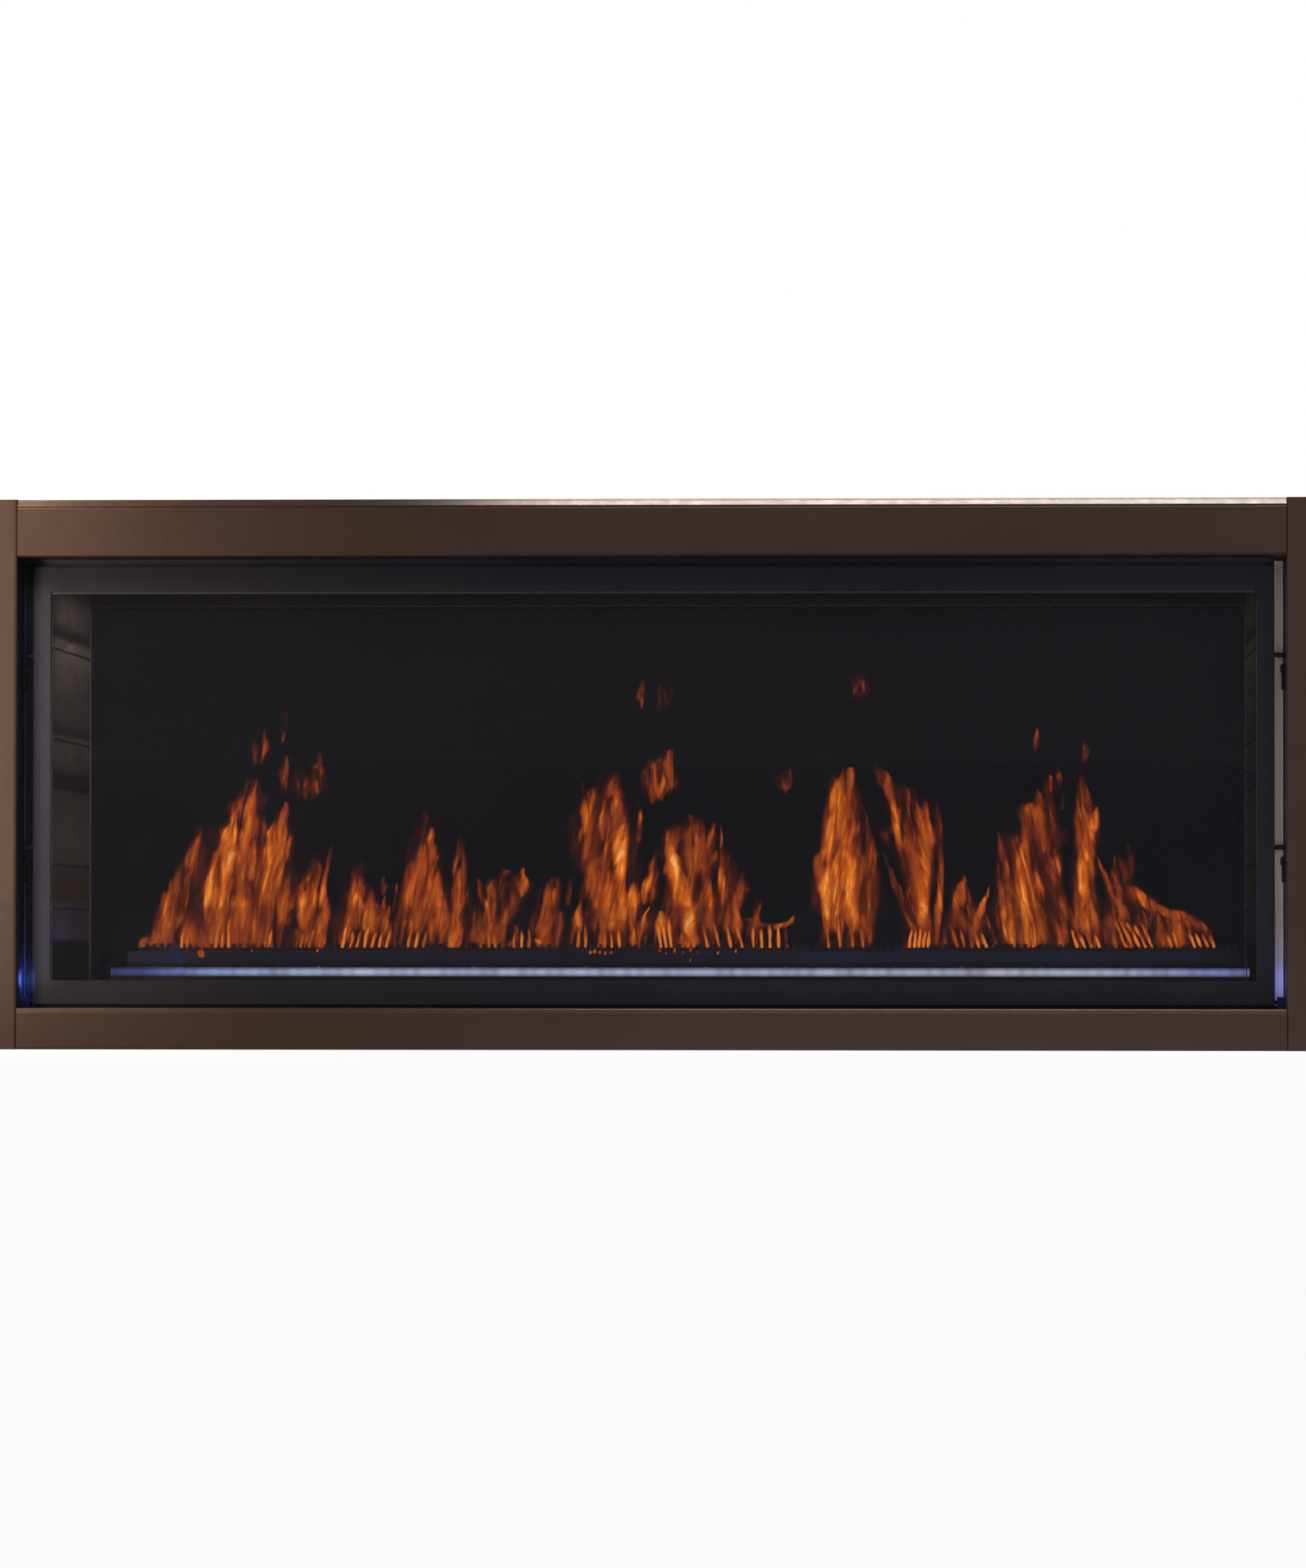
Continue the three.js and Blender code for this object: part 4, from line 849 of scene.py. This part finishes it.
# How a tongue is filled in around and between its given rows
RING, STEPS_PER_ROW, FEWEST_STEPS = 12, 5, 8
SWAY, SWAY_RATE = 0.22, 5.0
THINNEST, WIDENED, SWELL, SWELL_RATE = 0.4, 1.08, 0.16, 9.0
FOOT_HEAT, FOOT_STEPS, LEAST_HEAT = 0.55, 1.5, 0.02
WISP_HEAT, WISP_FADE, WISP_WIDENED = 1.05, 0.6, 1.45
# Half thickness as a share of half width, a pixel's size at the burner, and the most half thickness
FLATNESS, PIXEL, THICKEST = 0.45, 0.001, 0.007
# Depths in Y: broad bodies from BODY_Y on, single tongues, ports, and the sparks in front of them
BROAD_FROM, BODY_Y, BODY_SPREAD = 30, 0.01, 0.006
TONGUE_Y, PORT_Y, SPARK_Y = (-0.014, 0.008), (-0.016, -0.012), -0.0725
MOST_LEAN_Y = 0.03
FLAME_LOOKS = {"ports": "flame_ports", "wisps": "flame_ports", "centre_right": "flame_left",
               "right": "flame_left"}


def spline(rows, at):
    """A smooth value between rows, at a place from 0 to 1 along them."""
    place = at * (len(rows) - 1)
    i = min(int(place), len(rows) - 2)
    t = place - i
    a, b, c, d = (rows[max(0, min(len(rows) - 1, k))] for k in (i - 1, i, i + 1, i + 2))
    return [0.5 * (2 * q + (r - p) * t + (2 * p - 5 * q + 4 * r - s) * t * t
                   + (3 * q - p - 3 * r + s) * t ** 3) for p, q, r, s in zip(a, b, c, d)]


def near_ports(px, py):
    """How much of a larger flame's heat is left where the small port flames stand in front of it."""
    inside = any(first - BESIDE < px < last + BESIDE and last - first > LONG for first, last, *_ in PORTS)
    return 1.0 - DIMMED_BY * min(1.0, max(0.0, (py - DIM_FROM) / DIM_OVER)) if inside else 1.0


def tongue(rows, depth, lean, kind):
    """Points, faces and shader values of one closed, lens-shaped tongue; a wisp fades at both ends."""
    steps = max(FEWEST_STEPS, STEPS_PER_ROW * (len(rows) - 1))
    rows = [(px, PORT_ROW - up, half, hot) for px, up, half, hot in rows]
    middle = [spline(rows, k / steps) for k in range(steps + 1)]
    points, across, heat = [], [], []
    for k, (px, py, half, hot) in enumerate(middle):
        rise = k / steps
        y = depth + lean * rise
        before, after = middle[max(0, k - 1)], middle[min(steps, k + 1)]
        px += SWAY * half * math.sin(SWAY_RATE * rise + 0.7 * px) * rise
        along = Vector((after[0] - before[0], after[1] - before[1])).normalized()
        side = Vector((-along.y, along.x))
        half = max(half, THINNEST) * (WIDENED + SWELL * math.sin(SWELL_RATE * rise + middle[0][0]))
        foot = min(1.0, rise * steps / FOOT_STEPS + FOOT_HEAT)
        if kind == "wisps":
            foot = WISP_HEAT * math.sin(math.pi * rise) ** WISP_FADE if 0 < k < steps else 0.0
            half *= WISP_WIDENED
        for j in range(RING):
            angle = 2 * math.pi * j / RING
            c, s = math.cos(angle), math.sin(angle)
            x, z = px + side.x * half * c, py + side.y * half * c
            thick = min(FLATNESS * half * PIXEL, THICKEST)
            points.append(seen(x, z, y) + Vector((0, thick * s, 0)))
            across.append(c)
            heat.append(max(hot, LEAST_HEAT) * foot * (1.0 if kind == "ports" else near_ports(x, z)))
    return points, tube_faces(steps + 1, RING), across, heat


def flame_piece(name, tongues):
    """One group of tongues as a piece, with the values that its material reads."""
    points, faces, across, heat = [], [], [], []
    for rows in tongues:
        broad = max(row[2] for row in rows) > BROAD_FROM
        depth = BODY_Y + rng.uniform(0.0, BODY_SPREAD) if broad else rng.uniform(*TONGUE_Y)
        if name == "ports":
            depth = SPARK_Y if rows[0][1] < -1 else rng.uniform(*PORT_Y)
        lean = 0.0 if name == "ports" else rng.uniform(-MOST_LEAN_Y, MOST_LEAN_Y)
        p, f, a, h = tongue(rows, depth, lean, name)
        base = len(points)
        points += p
        faces += [tuple(base + v for v in face) for face in f]
        across += a
        heat += h
    look = MATERIALS[FLAME_LOOKS.get(name, "flame_right")]
    piece = recalc(mesh_piece(f"flames_{name}", points, faces, look, smooth=True))
    for key, values in (("across", across), ("hotness", heat)):
        piece.data.attributes.new(key, "FLOAT", "POINT").data.foreach_set("value", values)


TONGUES["ports"] = []
for first, last, pitch, tall, lean, hot in PORTS:
    for k in range(int((last - first) / pitch) + 1):
        px, up = first + k * pitch, tall * rng.uniform(0.8, 1.1)
        TONGUES["ports"].append([(px, 0, 2.6, hot), (px + lean * .4, up * .4, 3.3, hot),
                                 (px + lean * .8, up * .8, 2.8, .7 * hot), (px + lean, up, 1.0, .2)])
for px, down, size in SPARKS:
    TONGUES["ports"].append([(px - 1, -down - .5, .45 * size, .5), (px, size * .5 - down, .5 * size, .6),
                             (px + 1, size - down, .5, .2)])
for name, tongues in TONGUES.items():
    flame_piece(name, tongues)

# Stage and light
WHITE = (1.0, 1.0, 1.0)
FILL_STRENGTH, BACKGROUND_STRENGTH, FLOOR_WHITE = 0.42, 1.0, 0.92
FLOOR_Z, FLOOR_HALF = -0.0003, 90


def white_rays(look):
    """1 for the rays that show the background: camera, glossy and transmission rays."""
    path = look.add("LightPath").outputs
    both = look.total(path["Is Camera Ray"], path["Is Glossy Ray"], clamp=True)
    return look.total(both, path["Is Transmission Ray"], clamp=True)


def stage_plane(name, corners, material):
    """A flat piece of the stage, which isn't part of the object."""
    obj = new_object(name, corners, [(0, 1, 2, 3)], material)


studio = Look("studio", world=True)
fill = studio.add("Background", {"Color": WHITE, "Strength": FILL_STRENGTH}).outputs[0]
backdrop = studio.add("Background", {"Color": WHITE, "Strength": BACKGROUND_STRENGTH}).outputs[0]
scene.world = studio.finish(studio.mix_shaders(white_rays(studio), fill, backdrop))

ground = Look("pale_floor")
grey = ground.shades(ground.noise(1.5, 3.0), (0.8, 0.8, 0.8), (0.84, 0.84, 0.84))
diffuse = ground.add("BsdfPrincipled", {"Base Color": grey, "Roughness": 0.8, "Specular IOR Level": 0.1})
glow = ground.add("Emission", {"Color": WHITE, "Strength": BACKGROUND_STRENGTH}).outputs[0]
share = ground.product(white_rays(ground), FLOOR_WHITE)
pale_floor = ground.finish(ground.mix_shaders(share, diffuse.outputs[0], glow))
stage_plane("floor", [(x * FLOOR_HALF, y * FLOOR_HALF, FLOOR_Z)
                      for x, y in ((-1, -1), (1, -1), (1, 1), (-1, 1))], pale_floor)

# The dark room that the photograph shows through the panes, far behind them and low: it is there for
# camera rays that have passed a pane. Its floor widens from near to far; its wall is at the far end.
NEAR_Y, NEAR_LEFT, NEAR_RIGHT, ROOM_FLOOR_Z = 16, -3.4, 1.7, 0.0005
FAR_Y, FAR_LEFT, FAR_RIGHT, WALL_LOW, WALL_HIGH = 60, -8.5, 4.2, -0.05, 4.05
SHADES_OVER = 4.0
room = Look("dark_room")
tone = room.ramp(room.math("DIVIDE", room.along("Z"), SHADES_OVER), (0.0, (0.01, 0.01, 0.02)),
                 (0.472, (0.012, 0.011, 0.021)), (0.476, (0.05, 0.046, 0.058)),
                 (0.482, (0.026, 0.023, 0.034)), (1.0, (0.024, 0.021, 0.03)))
dark = room.add("Emission", {"Color": tone, "Strength": 1.0}).outputs[0]
clear = room.add("BsdfTransparent").outputs[0]
path = room.add("LightPath").outputs
past_pane = room.math("GREATER_THAN", path["Transparent Depth"], 0.5)
shown = room.product(past_pane, path["Is Camera Ray"])
dark_room = room.finish(room.mix_shaders(shown, clear, dark))
floor_corners = ((NEAR_LEFT, NEAR_Y), (NEAR_RIGHT, NEAR_Y), (FAR_RIGHT, FAR_Y), (FAR_LEFT, FAR_Y))
wall_corners = ((FAR_LEFT, WALL_LOW), (FAR_RIGHT, WALL_LOW), (FAR_RIGHT, WALL_HIGH), (FAR_LEFT, WALL_HIGH))
stage_plane("dark_floor_behind", [(x, y, ROOM_FLOOR_Z) for x, y in floor_corners], dark_room)
stage_plane("dark_room_behind", [(x, FAR_Y, z) for x, z in wall_corners], dark_room)

# Each lamp: name, place, point it faces, width, height or None for a square, watts, colour. The
# recess_blue ones stand low in the corners of both recesses, for the spill of the light bars.
LAMPS = [
    ("top_edge", (0.44, -0.335, 1.3), (0.44, -0.27, 0.6), 1.3, 0.1, 4.7, (0.98, 0.99, 1.0)),
    ("low_right", (0.9, -0.75, 0.46), (0.84, -0.27, 0.45), 0.1, 0.4, 1.15, (1.0, 0.96, 0.98)),
    ("low_front", (0.6, -1.0, 0.12), (0.56, -0.27, 0.08), 1.1, 0.1, 0.22, (1.0, 0.95, 0.94)),
    ("soft_rear", (-0.4, 2.4, 2.3), (0.0, 0.27, 0.35), 2.0, 1.0, 40.0, (1.0, 0.98, 0.96)),
    ("near_left", (-0.96, -0.72, 0.36), (-0.82, -0.27, 0.37), 0.1, 0.6, 4.5, (1.0, 0.82, 0.6)),
    ("near_left_high", (-0.86, -0.54, 0.95), (-0.86, -0.27, 0.5), 0.06, 0.5, 6.3, (1.0, 0.84, 0.62)),
] + [
    (f"recess_blue_{x}_{side}", (x * 0.787, side * 0.228, 0.088), (x * 0.8, side * 0.222, 0.088),
     0.012, None, 0.072 if x * side > 0 else 0.012, (0.12, 0.22, 1.0))
    for x in (-1, 1) for side in (-1, 1)
] + [
    ("low_door_edge", (-0.772, -0.262, 0.33), (-0.772, -0.2, 0.33), 0.012, 0.5, 0.064, (0.86, 0.92, 1.0)),
    ("inside_top", (0.0, 0.0, 0.585), (0.0, 0.0, 0.0), 1.4, 0.3, 6.5, (1.0, 0.9, 0.82)),
    ("inside_glow", (-0.6, 0.0, 0.2), (-0.77, 0.0, 0.16), 0.08, 0.25, 0.09, (1.0, 0.5, 0.18)),
    ("inside_blue", (-0.6, -0.15, 0.12), (-0.77, -0.12, 0.09), 0.05, None, 0.12, (0.3, 0.35, 1.0)),
    ("tray_blue", (0.0, -0.14, 0.16), (0.0, -0.07, 0.1), 1.4, 0.02, 0.5, (0.55, 0.62, 1.0)),
]
NARROWED = {"top_edge": math.radians(42), "low_door_edge": math.radians(70)}
# Lamps whose names start like this don't show in glossy surfaces
UNSEEN_IN_GLOSS = ("inside", "tray", "low")
for name, place, target, width, height, watts, colour in LAMPS:
    data = bpy.data.lights.new(name, "AREA")
    data.energy, data.color, data.size = watts, colour, width
    data.spread = NARROWED.get(name, data.spread)
    if height:
        data.shape, data.size_y = "RECTANGLE", height
    obj = bpy.data.objects.new(name, data)
    obj.location = place
    obj.rotation_mode = "QUATERNION"
    obj.rotation_quaternion = (Vector(target) - Vector(place)).to_track_quat("-Z", "Y")
    obj.visible_camera = False
    obj.visible_glossy = not name.startswith(UNSEEN_IN_GLOSS)
    scene.collection.objects.link(obj)
